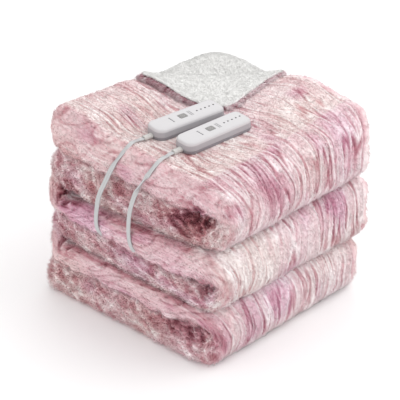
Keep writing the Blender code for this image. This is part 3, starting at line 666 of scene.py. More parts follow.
def panel_grid():
    """The panel laid flat: x goes round the strip and y along it, cut finer where it shows."""
    bm = bmesh.new()
    rows = round(RUN_ENDS[-1] / CELL_ALONG)
    bmesh.ops.create_grid(bm, x_segments=COLUMNS, y_segments=rows, size=0.5)
    bmesh.ops.translate(bm, verts=bm.verts, vec=(0.5, 0.5, 0))
    bmesh.ops.scale(bm, verts=bm.verts, vec=(PERIMETER, RUN_ENDS[-1], 1))
    bmesh.ops.translate(bm, verts=bm.verts, vec=(GRID_START, 0, 0))
    for level, only_round in (("coarse", False), ("fine", False), ("fine", True)):
        faces = list(bm.faces)
        centres = np.array([face.calc_center_median()[:2] for face in faces])
        chosen = getattr(seen(centres[:, 0] % PERIMETER, centres[:, 1]), level)
        edges = {edge for face, pick in zip(faces, chosen) if pick for edge in face.edges}
        if only_round:
            edges = {edge for edge in edges
                     if abs(edge.verts[0].co.y - edge.verts[1].co.y) < 1e-5}
        bmesh.ops.subdivide_edges(bm, edges=list(edges), cuts=1, use_grid_fill=True)
    return bm


RIDGE_HEIGHT, GROOVE_DEPTH, SIDE_SHARE = 0.0022, 0.0017, 0.25
CROSSING_DEPTH, CROSSING_WIDTH = 0.0022, 0.10
EDGE_WAVE, EDGE_RISE = 0.0045, 0.0008
TOP_RISE, PLAIN_RISE = 0.0005, 0.0018
FUR_RIDGE_HEIGHT, FUR_RIDGE_WIDTH, FUR_LUMP_HEIGHT, FUR_RISE = 0.0028, 0.16, 0.0013, 0.0012
BROAD_HEIGHT = 0.0020
CURL_HEIGHT, RECESS_FALL = 0.0055, 0.0020
RESTS_BELOW, TOP_ABOVE = 0.0015, 0.30


def ruche(mesh, around, run, points):
    """Raises the ruching's ridges, presses the grooves in, and lets the cloth between swell."""
    fold = creases(around, run)
    fur, recess = furriness(around, run), in_recess(around, run)
    w, _ = side_share(around)
    on_side = np.abs(w) < 1
    rise = RIDGE_HEIGHT * fold.ridge - GROOVE_DEPTH * fold.groove
    crossing = hill(pattern(CROSSING, around, run), CROSSING_WIDTH)
    rise = np.where(on_side, SIDE_SHARE * rise - CROSSING_DEPTH * crossing, rise)
    lip = on_side * ease((np.abs(w) - 0.45) / 0.3)
    rise = rise + lip * (EDGE_WAVE * pattern(WAVY_EDGE, around, run) + EDGE_RISE)
    rise = rise + np.where(topmost(strip_place(run), around), TOP_RISE, PLAIN_RISE)
    ridges = hill(pattern(FUR_RIDGES, around, run), FUR_RIDGE_WIDTH)
    lumps = pattern(FUR_LUMPS, around, run)
    rise = mix(rise, FUR_RIDGE_HEIGHT * ridges + FUR_LUMP_HEIGHT * lumps + FUR_RISE, fur)
    rise = rise + BROAD_HEIGHT * pattern(BROAD_SWELL, around, run)
    rise = rise + recess * (CURL_HEIGHT * curl(points, around, run) - RECESS_FALL)
    rise = np.where((points[:, 2] < RESTS_BELOW) | ~seen(around, run).coarse, 0.0, rise)
    moved = points + points_of(mesh, "normal") * rise[:, None]
    moved[:, 2] = np.maximum(moved[:, 2], 0.0)
    return moved


# How pale the plush and its furry edges are, and what each pattern adds
PLUSH_PALE, FUR_PALE = 0.71, 0.53
PLUSH_TONES = ((BROAD_TONE, 0.05), (MIDDLE_TONE, 0.06), (STREAK, 0.05), (GRAIN, 0.03))
FUR_TONES = ((MOTTLE, 0.21), (GRAIN, 0.16), (BROAD_TONE, 0.06))
# Ruching ridges are paler, partly their own pale tips and partly painted highlight; the grooves
# beside them are darker, partly deeper dye and partly painted shade
RIDGE_PALE_AND_HIGHLIGHT, GROOVE_DYE_AND_SHADE, SIDE_TONE = 0.25, 0.36, 0.3
CROSSING_SHADE, CROSSING_LINE = 0.16, 0.07
STAIN_FROM, STAIN_DARK, STAIN_LILAC = 0.35, 0.30, 1.2
FUR_RIDGE_PALE = 0.24
LEFT_EDGE_SHADE, TOP_PALE, CREVICE_SHADE = 0.10, 0.02, 0.17
NOSE_PALE, TOP_NOSE_DARK = 0.03, 0.02
RECESS_SHADE, RAGGED_SHADE_DEPTH, CURL_PALE = 0.55, 0.25, 0.48
TOP_LILAC, NOSE_LILAC, PLAIN_LILAC = 0.05, 0.40, 0.28
FUR_LESS_LILAC, BROAD_LILAC_SHARE = 0.15, 0.35


def tones(around, run, points):
    """How pale the plush is, 0 deep burgundy to 1 palest, and how lilac."""
    def toned(start, shares):
        return start + sum(share * pattern(kind, around, run) for kind, share in shares)

    spot = strip_place(run)
    w, outward = side_share(around)
    on_top, on_nose = topmost(spot, around), spot.bend & (np.abs(w) == 1)
    fold = creases(around, run)
    fur, recess = furriness(around, run), in_recess(around, run)
    darker, lilac = dye_and_shade(around, run)
    stain = np.clip(pattern(STAIN, around, run) - STAIN_FROM, 0, 1)
    # Painted highlight on the ridges and painted shade in the grooves, over the ridges' own paler
    # tips and the grooves' deeper dye
    ruching = RIDGE_PALE_AND_HIGHLIGHT * fold.ridge - GROOVE_DYE_AND_SHADE * fold.groove
    # The crossing creases are pressed in and darkened with painted shade
    crossing = hill(pattern(CROSSING, around, run), CROSSING_LINE)
    ruching = np.where(np.abs(w) < 1, SIDE_TONE * ruching - CROSSING_SHADE * crossing, ruching)
    pale = toned(PLUSH_PALE, PLUSH_TONES) + ruching - STAIN_DARK * stain
    ridges = hill(pattern(FUR_RIDGES, around, run), FUR_RIDGE_WIDTH)
    pale = mix(pale, toned(FUR_PALE, FUR_TONES) + FUR_RIDGE_PALE * ridges, fur) - darker
    # Painted shade over the smooth side edges on the stack's left side
    pale = pale - np.where((outward < 0) & (fur < 0.5), LEFT_EDGE_SHADE, 0.0)
    # The top is a little paler; painted shade darkens the cloth where it turns in between the
    # layers
    pale = pale + np.where(on_top, TOP_PALE, 0.0) - CREVICE_SHADE * in_crevice(around, run)
    pale = pale + np.where(on_nose, np.where(spot.layer > 0, NOSE_PALE, -TOP_NOSE_DARK), 0.0)
    # Painted shade deep in the folds' hollow ends: ragged, and lighter on the curl's ridges
    ragged_shade = RAGGED_SHADE_DEPTH * pattern(RAGGED_SHADE, around, run)
    pale = pale - recess * (RECESS_SHADE + ragged_shade - CURL_PALE * curl(points, around, run))
    lilac = (lilac + np.where(on_top, TOP_LILAC, np.where(on_nose, NOSE_LILAC, PLAIN_LILAC))
             - FUR_LESS_LILAC * fur + BROAD_LILAC_SHARE * pattern(BROAD_LILAC, around, run)
             + STAIN_LILAC * stain)
    return np.clip(pale, 0.02, 1.0), np.clip(lilac, 0, 1)


def make_plush(material):
    """The ruched panel, wrapped round the strip and closed, with its places, tones and map."""
    bm = panel_grid()
    around_layer, run_layer = (bm.verts.layers.float.new(key) for key in ("around", "run"))
    flat = np.array([vert.co[:2] for vert in bm.verts])
    flat[:, 0] %= PERIMETER
    points = strip_point(flat[:, 0], flat[:, 1])
    for vert, (around, run), point in zip(bm.verts, flat, points):
        vert[around_layer], vert[run_layer] = around, run
        vert.co = point
    # The panel's long edges meet, and its caps close on their middle line
    bmesh.ops.remove_doubles(bm, verts=bm.verts, dist=WELD)
    bmesh.ops.recalc_face_normals(bm, faces=bm.faces)
    made = place_mesh("blanket_plush", bm, material)
    mesh = made.data
    around, run = read_value(mesh, "around"), read_value(mesh, "run")
    points = points_of(mesh)
    spot = strip_place(run)
    on_top = (spot.layer == 0) & ~spot.bend & (points[:, 2] > TOP_ABOVE)
    points[:, 2] -= np.where(on_top, corner_drop(points[:, 0], points[:, 1]), 0)
    move_points(mesh, points)
    move_points(mesh, ruche(mesh, around, run, points))
    for name, values in zip(("pale", "lilac"), tones(around, run, points)):
        write_value(mesh, name, values)
    # Faces over the seam round the strip need the far end's value, so the map is per corner
    corners = corner_vertices(mesh)
    u = around[corners] / PERIMETER
    starts, totals = np.empty((2, len(mesh.polygons)), np.int32)
    mesh.polygons.foreach_get("loop_start", starts)
    mesh.polygons.foreach_get("loop_total", totals)
    crosses = np.repeat(np.maximum.reduceat(u, starts) > 0.75, totals)
    u = np.where(crosses & (u < 0.25), u + 1, u)
    write_corners(mesh, u, run[corners] / RUN_ENDS[-1])
    return made


# ---- the pile ------------------------------------------------------------------------------------

def tuft_shape():
    """One tuft: a slim three-sided cone along +Z, a unit long and a unit wide."""
    bm = bmesh.new()
    bmesh.ops.create_cone(bm, cap_ends=True, cap_tris=False, segments=3, radius1=0.5, radius2=0.0,
                          depth=1.0, matrix=Matrix.Translation((0, 0, 0.5)))
    bmesh.ops.remove_doubles(bm, verts=bm.verts, dist=0.001)
    bmesh.ops.triangulate(bm, faces=bm.faces)
    bm.verts.index_update()
    verts = np.array([vert.co for vert in bm.verts])
    faces = np.array([[vert.index for vert in face.verts] for face in bm.faces])
    bm.free()
    return verts, faces


# Each tuft has a cell of its own on the map, so its root and tip keep their colours: it starts
# and ends this far up the cell, and is this wide in it
CELL_START, CELL_RISE, CELL_WIDTH = 0.15, 0.7, 0.6


def strew(name, roots, ways, lengths, widths, values, material, rng):
    """A piece made of tufts. values names what each tuft carries at its root and at its tip."""
    shape, faces = tuft_shape()
    count = len(roots)
    helper = np.where(np.abs(ways[:, 2:3]) < 0.9, np.array((0.0, 0.0, 1.0)), (1.0, 0.0, 0.0))
    first = np.cross(ways, helper)
    first /= np.linalg.norm(first, axis=1, keepdims=True)
    second = np.cross(ways, first)
    spin = rng.uniform(0, 2 * math.pi, count)[:, None]
    first, second = (first * np.cos(spin) + second * np.sin(spin),
                     second * np.cos(spin) - first * np.sin(spin))
    points = (roots[:, None] + shape[None, :, 2:3] * (ways * lengths[:, None])[:, None]
              + shape[None, :, 0:1] * (first * widths[:, None])[:, None]
              + shape[None, :, 1:2] * (second * widths[:, None])[:, None])
    corners = faces[None] + len(shape) * np.arange(count)[:, None, None]
    mesh = bpy.data.meshes.new(name)
    mesh.vertices.add(count * len(shape))
    mesh.vertices.foreach_set("co", points.ravel())
    triangles = corners.reshape(-1, 3)
    mesh.loops.add(triangles.size)
    mesh.loops.foreach_set("vertex_index", triangles.ravel())
    mesh.polygons.add(len(triangles))
    mesh.polygons.foreach_set("loop_start", np.arange(0, triangles.size, 3))
    mesh.update(calc_edges=True)
    mesh.materials.append(material)
    height = shape[:, 2]
    for key, (root, tip) in values.items():
        write_value(mesh, key, mix(root[:, None], tip[:, None], height[None]).ravel())
    cells = math.ceil(math.sqrt(count))
    row, column = np.divmod(np.arange(count), cells)
    across = (column[:, None] + 0.5 + CELL_WIDTH * shape[None, :, 0]) / cells
    along = (row[:, None] + CELL_START + CELL_RISE * height[None]) / cells
    write_map(mesh, across.ravel(), along.ravel())
    made = bpy.data.objects.new(name, mesh)
    bpy.context.collection.objects.link(made)
    return made


def sow(mesh, weights, count, rng):
    """Random places over a mesh: the triangles hit, and the shares of their corners."""
    triangles = triangles_of(mesh)
    points = points_of(mesh)
    a, b, c = (points[triangles[:, i]] for i in range(3))
    area = np.linalg.norm(np.cross(b - a, c - a), axis=1) / 2
    chance = area * weights(triangles)
    picked = rng.choice(len(triangles), count, p=chance / chance.sum())
    u, v = rng.random(count), rng.random(count)
    flip = u + v > 1
    u, v = np.where(flip, 1 - u, u), np.where(flip, 1 - v, v)
    shares = np.stack((1 - u - v, u, v), -1)
    return triangles[picked], shares


def spread(values, corners, shares):
    """A per-vertex value at the sown places."""
    found = values[corners]
    return (found * (shares[..., None] if found.ndim == 3 else shares)).sum(1)


def unit(vectors):
    """The same directions, a unit long."""
    return vectors / np.maximum(np.linalg.norm(vectors, axis=-1, keepdims=True), 1e-9)


def under_housing(x, y, margin):
    """Where a controller lies on the top."""
    covered = np.zeros(len(x), bool)
    for place in CONTROLLERS:
        dx, dy = x - place.x, y - place.y
        along = dx * math.cos(place.turn) + dy * math.sin(place.turn)
        across = -dx * math.sin(place.turn) + dy * math.cos(place.turn)
        covered |= ((np.abs(along) < BODY_LENGTH / 2 + margin)
                    & (np.abs(across) < BODY_WIDTH / 2 + margin))
    return covered


PILE_COUNT, PILE_PIECES = 138000, 4
# How thickly the pile is sown: where it shows less, and on smooth and furry side edges
COARSE_SOWN, SMOOTH_EDGE_SOWN, FURRY_EDGE_SOWN = 0.26, 0.75, 1.35
CREASE_MARGIN, HOUSING_MARGIN, FLOOR_MARGIN = -0.002, -0.001, 0.003
LAY_STEP = 0.002
# How far the tufts swirl and stand up: on the faces, then on smooth and furry side edges
FACE_SWIRL, SMOOTH_SWIRL, FURRY_SWIRL, FURRY_TURN = 0.10, 0.25, 0.42, 0.7
FINE_SWIRL_SHARE = 0.75
FACE_STAND, SMOOTH_STAND, FURRY_STAND, STAND_UNEVEN = 0.36, 0.34, 0.66, 0.30
JITTER, FURRY_JITTER = 0.06, 0.16
TUFT_LENGTH, FURRY_LENGTH, TUFT_SPREAD = 0.0062, 0.0064, (0.7, 1.3)
RIDGE_LONGER, GROOVE_SHORTER, LIP_LONGER = 0.10, 0.35, 0.4
TUFT_WIDTHS, COARSE_WIDER = (0.0008, 0.0013), 1.4
ROOT_DEPTH = 0.0006
ROOT_PALE, TIP_PALE, EDGE_PALE, SHADE = 0.02, 0.17, 0.05, 0.035


def make_pile(plush, material):
    """The plush's pile, in a few pieces of tufts that lie along the ruching."""
    rng = np.random.default_rng(11)
    count = PILE_COUNT
    mesh = plush.data
    around, run = read_value(mesh, "around"), read_value(mesh, "run")
    points, normals = points_of(mesh), points_of(mesh, "normal")
    look = seen(around, run)
    weight = np.where(look.fine, 1.0, np.where(look.coarse, COARSE_SOWN, 0.0))
    x, y, z = points.T
    top = topmost(strip_place(run), around)
    weight[top & (beyond_crease(x, y) > CREASE_MARGIN)] = 0
    weight[top & under_housing(x, y, HOUSING_MARGIN)] = 0
    weight[z < FLOOR_MARGIN] = 0
    on_side = np.abs(side_share(around)[0]) < 1
    sown = mix(SMOOTH_EDGE_SOWN, FURRY_EDGE_SOWN, furriness(around, run))
    weight *= np.where(on_side, sown, 1.0)
    ahead, behind = (strip_point(around % PERIMETER, np.clip(run + step, 0, RUN_ENDS[-1]))
                     for step in (LAY_STEP, -LAY_STEP))
    corners, shares = sow(mesh, lambda t: weight[t].min(1), count, rng)
    # At the seam the round place can't be averaged, so it is read from one corner
    wraps = np.ptp(around[corners], axis=1) > 0.2
    run_here = spread(run, corners, shares)
    around_here = np.where(wraps, around[corners[:, 0]], spread(around, corners, shares))
    root, normal = spread(points, corners, shares), unit(spread(normals, corners, shares))
    lay = spread(unit(ahead - behind), corners, shares)
    lay = unit(lay - normal * (lay * normal).sum(1, keepdims=True))
    aside = np.cross(normal, lay)
    fur = furriness(around_here, run_here)
    w, outward = side_share(around_here)
    on_edge = outward != 0
    wild = np.where(on_edge, mix(SMOOTH_SWIRL, FURRY_SWIRL, fur), FACE_SWIRL)
    swirl = (wild * pattern(SWIRL, around_here, run_here)
             + FINE_SWIRL_SHARE * wild * pattern(FINE_SWIRL, around_here, run_here)
             - FURRY_TURN * fur)
    lay = lay * np.cos(swirl)[:, None] + aside * np.sin(swirl)[:, None]
    stand = np.where(on_edge, mix(SMOOTH_STAND, FURRY_STAND, fur), FACE_STAND)
    stand = stand * (1 + STAND_UNEVEN * pattern(STANDING, around_here, run_here))
    way = unit(lay * (1 - stand)[:, None] + normal * stand[:, None]
               + rng.normal(0, 1, root.shape) * mix(JITTER, FURRY_JITTER, fur)[:, None])
    fold = creases(around_here, run_here)
    length = mix(TUFT_LENGTH, FURRY_LENGTH, fur) * rng.uniform(*TUFT_SPREAD, count)
    length *= 1 + RIDGE_LONGER * fold.ridge - GROOVE_SHORTER * fold.groove
    length *= 1 + LIP_LONGER * (outward < 0) * (1 - fur) * ease((np.abs(w) - 0.5) / 0.3)
    width = rng.uniform(*TUFT_WIDTHS, count)
    width *= np.where(seen(around_here, run_here).fine, 1.0, COARSE_WIDER)
    pale, lilac = tones(around_here, run_here, root)
    pale = pale + np.where(on_edge, EDGE_PALE * (1 - fur), 0.0) + rng.normal(0, SHADE, count)
    pale_root, pale_tip = (np.clip(pale + ROOT_PALE, 0.0, 1.0),
                           np.clip(pale + TIP_PALE, 0.02, 1.0))
    root = root - normal * ROOT_DEPTH
    return [strew(f"blanket_pile_{index + 1}", root[part], way[part], length[part], width[part],
                  {"pale": (pale_root[part], pale_tip[part]), "lilac": (lilac[part],) * 2},
                  material, rng)
            for index, part in enumerate(slice(start, None, PILE_PIECES)
                                         for start in range(PILE_PIECES))]


# ---- the turned corner ---------------------------------------------------------------------------

def crease_points(along, beyond, height_over_top):
    """Points over the top, placed along the crease and beyond it."""
    x = CREASE_BACK.x + CREASE_WAY.x * along + TO_CORNER.x * beyond
    y = CREASE_BACK.y + CREASE_WAY.y * along + TO_CORNER.y * beyond
    return np.stack((x, y, level_height(0, x, y) + height_over_top), -1)


def flap_points(along, travel, out):
    """Points of the turned ply: travel is measured along its inner face from the crease."""
    angle = np.clip(travel / BEND_RADIUS, 0, math.pi)
    radius = BEND_RADIUS + out
    beyond = np.where(travel <= 0, travel, np.where(
        travel < BEND_LENGTH, radius * np.sin(angle), BEND_LENGTH - travel))
    height = np.where(travel <= 0, -out, np.where(
        travel < BEND_LENGTH, BEND_RADIUS - radius * np.cos(angle), 2 * BEND_RADIUS + out))
    return crease_points(along, beyond, height - ROOT_STEP)


def patch_sides(reach):
    """Where the sherpa patch's two sides lie, at its reach from the crease to the corner."""
    left = np.maximum(CORNER_REACH - reach, 0.0)
    from_centre = CORNER_ROUNDING * math.sqrt(2) - left
    rounded = np.sqrt(np.maximum(CORNER_ROUNDING ** 2 - from_centre ** 2, 1e-6))
    width = np.where(left < CORNER_ROUNDING / math.sqrt(2), rounded, left)
    share = width / CORNER_REACH
    return (CORNER_ALONG - (CORNER_ALONG - CREASE_INSET) * share,
            CORNER_ALONG + (CREASE_LENGTH - CREASE_INSET - CORNER_ALONG) * share)


def flap_sides(travel):
    """Where the turned corner's two sides lie, at its travel from the crease."""
    back = np.maximum(travel - BEND_LENGTH, 0.0)
    sides = []
    for along, way, end in ((FLAP_START, +1, FLAP_LEFT_END), (FLAP_FINISH, -1, FLAP_RIGHT_END)):
        cut = np.clip((back - FLAP_END + end.reach) / end.reach, 0, 1)
        sides.append(mix(along, FLAP_APEX, back / FLAP_APEX_REACH)
                     + way * end.width * (1 - np.sqrt(1 - cut * cut)))
    return np.maximum(sides[0], BEND_START), np.minimum(sides[1], BEND_FINISH)


def flat_area(sides_at, first, last):
    """The area between a ply's sides, laid flat."""
    travel = np.linspace(first, last, 400)
    start, end = sides_at(travel)
    return float((end - start).mean() * (last - first))


def flap_lift(along, travel):
    """The flap stands a little clear of the top along its left side."""
    start, _ = flap_sides(travel)
    back = np.maximum(travel - BEND_LENGTH, 0.0)
    return (LIFT_HEIGHT * ease(1 - (along - start) / LIFT_REACH) * ease(back / LIFT_RISE)
            * ease((LIFT_END - back) / LIFT_FALL))


# A ply's rim rounds over this many half thicknesses
RIM_REACH = 2.2


def make_ply(name, material, point_at, sides_at, first, last, low, high, columns, rows, swell):
    """A ply over its sides and length: a wrapped grid whose rim is round, closed all over.

    swell(along, travel, up) gives how far each face stands out beyond its plain place.
    """
    bm = bmesh.new()
    bmesh.ops.create_grid(bm, x_segments=columns, y_segments=rows, size=0.5)
    upper = list(bm.faces)
    grown = bmesh.ops.duplicate(bm, geom=upper + list(bm.edges) + list(bm.verts))["geom"]
    lower_faces = [item for item in grown if isinstance(item, bmesh.types.BMFace)]
    bmesh.ops.reverse_faces(bm, faces=lower_faces)
    for item in grown:
        if isinstance(item, bmesh.types.BMVert):
            item.co.z = -1
    along_layer, travel_layer = (bm.verts.layers.float.new(key) for key in ("along", "travel"))
    verts = list(bm.verts)
    flat = np.array([vert.co[:2] for vert in verts]) + 0.5
    up = np.array([vert.co.z == 0 for vert in verts])
    travel = mix(first, last, flat[:, 1])
    start, end = sides_at(travel)
    along = mix(start, end, flat[:, 0])
    rim = np.minimum(np.minimum(flat[:, 0], 1 - flat[:, 0]) * (end - start),
                     (1 - flat[:, 1]) * abs(last - first))
    half = (high - low) / 2
    roundness = np.sqrt(np.clip(1 - (1 - np.clip(rim / (RIM_REACH * half), 0, 1)) ** 2, 0, 1))
    face = np.where(up, 1, -1) * half * roundness
    face = face + np.where(up, 1, -1) * roundness * swell(along, travel, up)
    points = point_at(along, travel, (low + high) / 2 + face)
    for vert, point, a, t in zip(verts, points, along, travel):
        vert.co = point
        vert[along_layer], vert[travel_layer] = a, t
    bmesh.ops.remove_doubles(bm, verts=bm.verts, dist=WELD)
    root = [edge for edge in bm.edges if edge.is_boundary]
    if root:
        bmesh.ops.holes_fill(bm, edges=root, sides=0)
    bmesh.ops.recalc_face_normals(bm, faces=bm.faces)
    return place_mesh(name, bm, material)


# The sherpa's lumps: how high each size is, and how far apart
SHERPA_LUMPS = ((0.0008, 0.0065, 31), (0.0008, 0.014, 32), (0.0012, 0.045, 33))
FLAP_ROOT, BED_TIP = -0.008, CORNER_END * 0.995
FLAP_CELLS, COVER_CELLS, BED_CELLS = (90, 48), (110, 56), (110, 60)
# The hem of the turned corner's plush: how thick it is and how far it curls, plain and rolled
ROLL_REACH, ROLL_FADE, HEM_CURL_SIZE, HEM_TONE_SIZE = 0.016, 0.01, 0.009, 0.007
PLAIN_HEM, ROLLED_HEM = (0.0012, 0.0022), (0.0042, 0.0034)
FLAP_MAP_SIZE, FLAP_MAP_START = 0.3, 0.05
# The hem's tones, on its right and its left, for the ply and then for its tufts
HEM_PALE, HEM_UNEVEN = (0.62, 0.44), 0.50
HEM_TUFT_PALE, HEM_TUFT_UNEVEN, HEM_SHADE, HEM_SHADED_ROOT_TO_TIP = (0.72, 0.56), 0.60, 0.06, 0.20
HEM_LILAC = 0.50


def make_corner(plush_material, sherpa_material):
    """The turned corner: its plush underside, and the sherpa on it and on the ply beneath."""
    def bed_points(along, reach, out):
        points = crease_points(along, reach, out)
        points[:, 2] -= bed_droop(points[:, 0], points[:, 1])
        return points

    def lifted(along, travel, out):
        points = flap_points(along, travel, out)
        points[:, 2] += flap_lift(along, travel)
        return points

    def sherpa_lumps(along, travel, up):
        lumps = sum(height * noise(along / size, travel / size, seed)
                    for height, size, seed in SHERPA_LUMPS)
        return np.where(up, lumps, 0)

    def hem_swell(along, travel, up):
        start, _ = flap_sides(travel)
        rolled = ease(1 - (along - start) / ROLL_REACH) * ease((travel - BEND_LENGTH) / ROLL_FADE)
        curled = noise(along / HEM_CURL_SIZE, travel / HEM_CURL_SIZE, 34)
        plain, roll = (thick + curls * curled for thick, curls in (PLAIN_HEM, ROLLED_HEM))
        return np.where(up, 0.0, mix(plain, roll, rolled))

    flap = make_ply("flap_plush", plush_material, lifted, flap_sides, FLAP_ROOT, FLAP_TIP, 0.0,
                    FUR_PLY, *FLAP_CELLS, hem_swell)
    cover = make_ply("flap_sherpa", sherpa_material, lifted, flap_sides, PIECE_GAP, FLAP_TIP,
                     FUR_PLY + PIECE_GAP, PLY + PIECE_GAP, *COVER_CELLS, sherpa_lumps)
    bed = make_ply("corner_sherpa", sherpa_material, bed_points, patch_sides, PIECE_GAP,
                   BED_TIP, -PLY - LINING_PLY, -PLY, *BED_CELLS, sherpa_lumps)
    for piece in (flap, cover, bed):
        along, travel = read_value(piece.data, "along"), read_value(piece.data, "travel")
        write_map(piece.data, along / FLAP_MAP_SIZE, travel / FLAP_MAP_SIZE + FLAP_MAP_START)
    mesh = flap.data
    along, travel = read_value(mesh, "along"), read_value(mesh, "travel")
    tone = (mix(*HEM_PALE, left_rim(along, travel))
            + HEM_UNEVEN * noise(along / HEM_TONE_SIZE, travel / HEM_TONE_SIZE, 35))
    write_value(mesh, "pale", np.clip(tone, 0.05, 1))
    write_value(mesh, "lilac", np.full(len(along), HEM_LILAC))
    return flap, cover, bed


def left_rim(along, travel):
    """1 on the flap's left half and 0 on its right half."""
    start, end = flap_sides(travel)
    return np.where(along - start < end - along, 1.0, 0.0)


HEM_COUNT, HEM_REACH, RIGHT_HEM_SOWN = 7000, 0.006, 0.55
HEM_LENGTHS, HEM_WIDTHS = (0.0035, 0.0060), (0.0010, 0.0016)
HEM_CLUMP_SIZE, HEM_CLUMP = 0.0045, 0.5
# How the hem's tufts lie: drooping on the right and on the left, outward, forward, up and astray
HEM_DROOP, HEM_OUT, HEM_FORWARD, HEM_UP, HEM_STRAY = (0.05, 0.55), 0.8, 0.5, 0.3, 0.28
# How many times longer they are on the right, then on the left and how much less at its far end
RIGHT_LONGER, LEFT_LONGER, LEFT_FALL = 1.9, 3.2, 1.9


def make_hem_pile(flap, material):
    """Rose tufts that hang from the flap's left rim, and short pale ones on its right rim."""
    rng = np.random.default_rng(12)
    count = HEM_COUNT
    mesh = flap.data
    along, travel = read_value(mesh, "along"), read_value(mesh, "travel")
    start, end = flap_sides(travel)
    from_side = np.minimum(along - start, end - along)
    rim = np.minimum(from_side, BEND_LENGTH + FLAP_END - travel)
    left = left_rim(along, travel)
    on_hem = (rim < HEM_REACH) & (travel > BEND_LENGTH)
    weight = np.where(on_hem, mix(RIGHT_HEM_SOWN, 1.0, left), 0.0)
    points, normals = points_of(mesh), points_of(mesh, "normal")
    corners, shares = sow(mesh, lambda t: weight[t].max(1), count, rng)
    root, normal = spread(points, corners, shares), unit(spread(normals, corners, shares))
    side = spread(left, corners, shares)
    outward = np.array((*CREASE_WAY, 0.0)) * (1 - 2 * side)[:, None]
    outward = outward - np.array((*TO_CORNER, 0.0)) * HEM_FORWARD
    droop = mix(*HEM_DROOP, side)[:, None] * np.array((0.0, 0.0, -1.0))
    way = unit(outward * HEM_OUT + normal * HEM_UP + droop
               + rng.normal(0, HEM_STRAY, root.shape))
    far = np.clip(spread(travel, corners, shares) / FLAP_END, 0, 1)
    length = rng.uniform(*HEM_LENGTHS, count)
    length *= mix(RIGHT_LONGER, LEFT_LONGER - LEFT_FALL * far, side)
    width = rng.uniform(*HEM_WIDTHS, count)
    clump = noise(root[:, 0] / HEM_CLUMP_SIZE, root[:, 1] / HEM_CLUMP_SIZE, 36)
    length *= 1 + HEM_CLUMP * clump
    tone = mix(*HEM_TUFT_PALE, side) + HEM_TUFT_UNEVEN * clump + rng.normal(0, HEM_SHADE, count)
    # Each tuft is darker at its root, as painted shade, and as much paler at its tip
    pale = tuple(np.clip(tone + more, 0.02, 1) for more in (-HEM_SHADED_ROOT_TO_TIP, HEM_SHADED_ROOT_TO_TIP))
    return strew("flap_hem_pile", root, way, length, width,
                 {"pale": pale, "lilac": (np.full(count, HEM_LILAC),) * 2}, material, rng)


SHERPA_COUNT, SHERPA_WIDTHS, SHERPA_LENGTHS = 15000, (0.0008, 0.0013), (0.0016, 0.0032)
SHERPA_UP, SHERPA_CURL, SHERPA_JITTER, SHERPA_ROOT = 0.70, 0.45, 0.40, 0.0004
SHERPA_ROOT_SHADE, RIM_LONGER = 0.25, 0.7
SHERPA_TURNS = ((0.9, 0.006, 41), (1.2, 0.030, 42))


def make_sherpa_pile(name, sheet, material, seed):
    """Short curly tufts over one sherpa face, clumped by a swirl, fuzzier at its rim."""
    rng = np.random.default_rng(seed)
    count = SHERPA_COUNT
    mesh = sheet.data
    points, normals = points_of(mesh), points_of(mesh, "normal")
    weight = np.where(normals[:, 2] > -0.3, 1.0, 0.0)
    corners, shares = sow(mesh, lambda t: weight[t].max(1), count, rng)
    root, normal = spread(points, corners, shares), unit(spread(normals, corners, shares))
    a, t = (spread(read_value(mesh, key), corners, shares) for key in ("along", "travel"))
    turn = math.pi * sum(share * noise(a / size, t / size, seed_of_turn)
                         for share, size, seed_of_turn in SHERPA_TURNS)
    flat_way = np.stack((np.cos(turn), np.sin(turn), np.zeros(count)), -1)
    way = unit(normal * SHERPA_UP + flat_way * SHERPA_CURL
               + rng.normal(0, SHERPA_JITTER, root.shape))
    length = rng.uniform(*SHERPA_LENGTHS, count)
    length *= 1 + RIM_LONGER * (1 - np.clip(normal[:, 2], 0, 1))
    width = rng.uniform(*SHERPA_WIDTHS, count)
    return strew(name, root - normal * SHERPA_ROOT, way, length, width,
                 {"depth": (np.full(count, SHERPA_ROOT_SHADE), np.ones(count))}, material, rng)


# ---- materials -----------------------------------------------------------------------------------

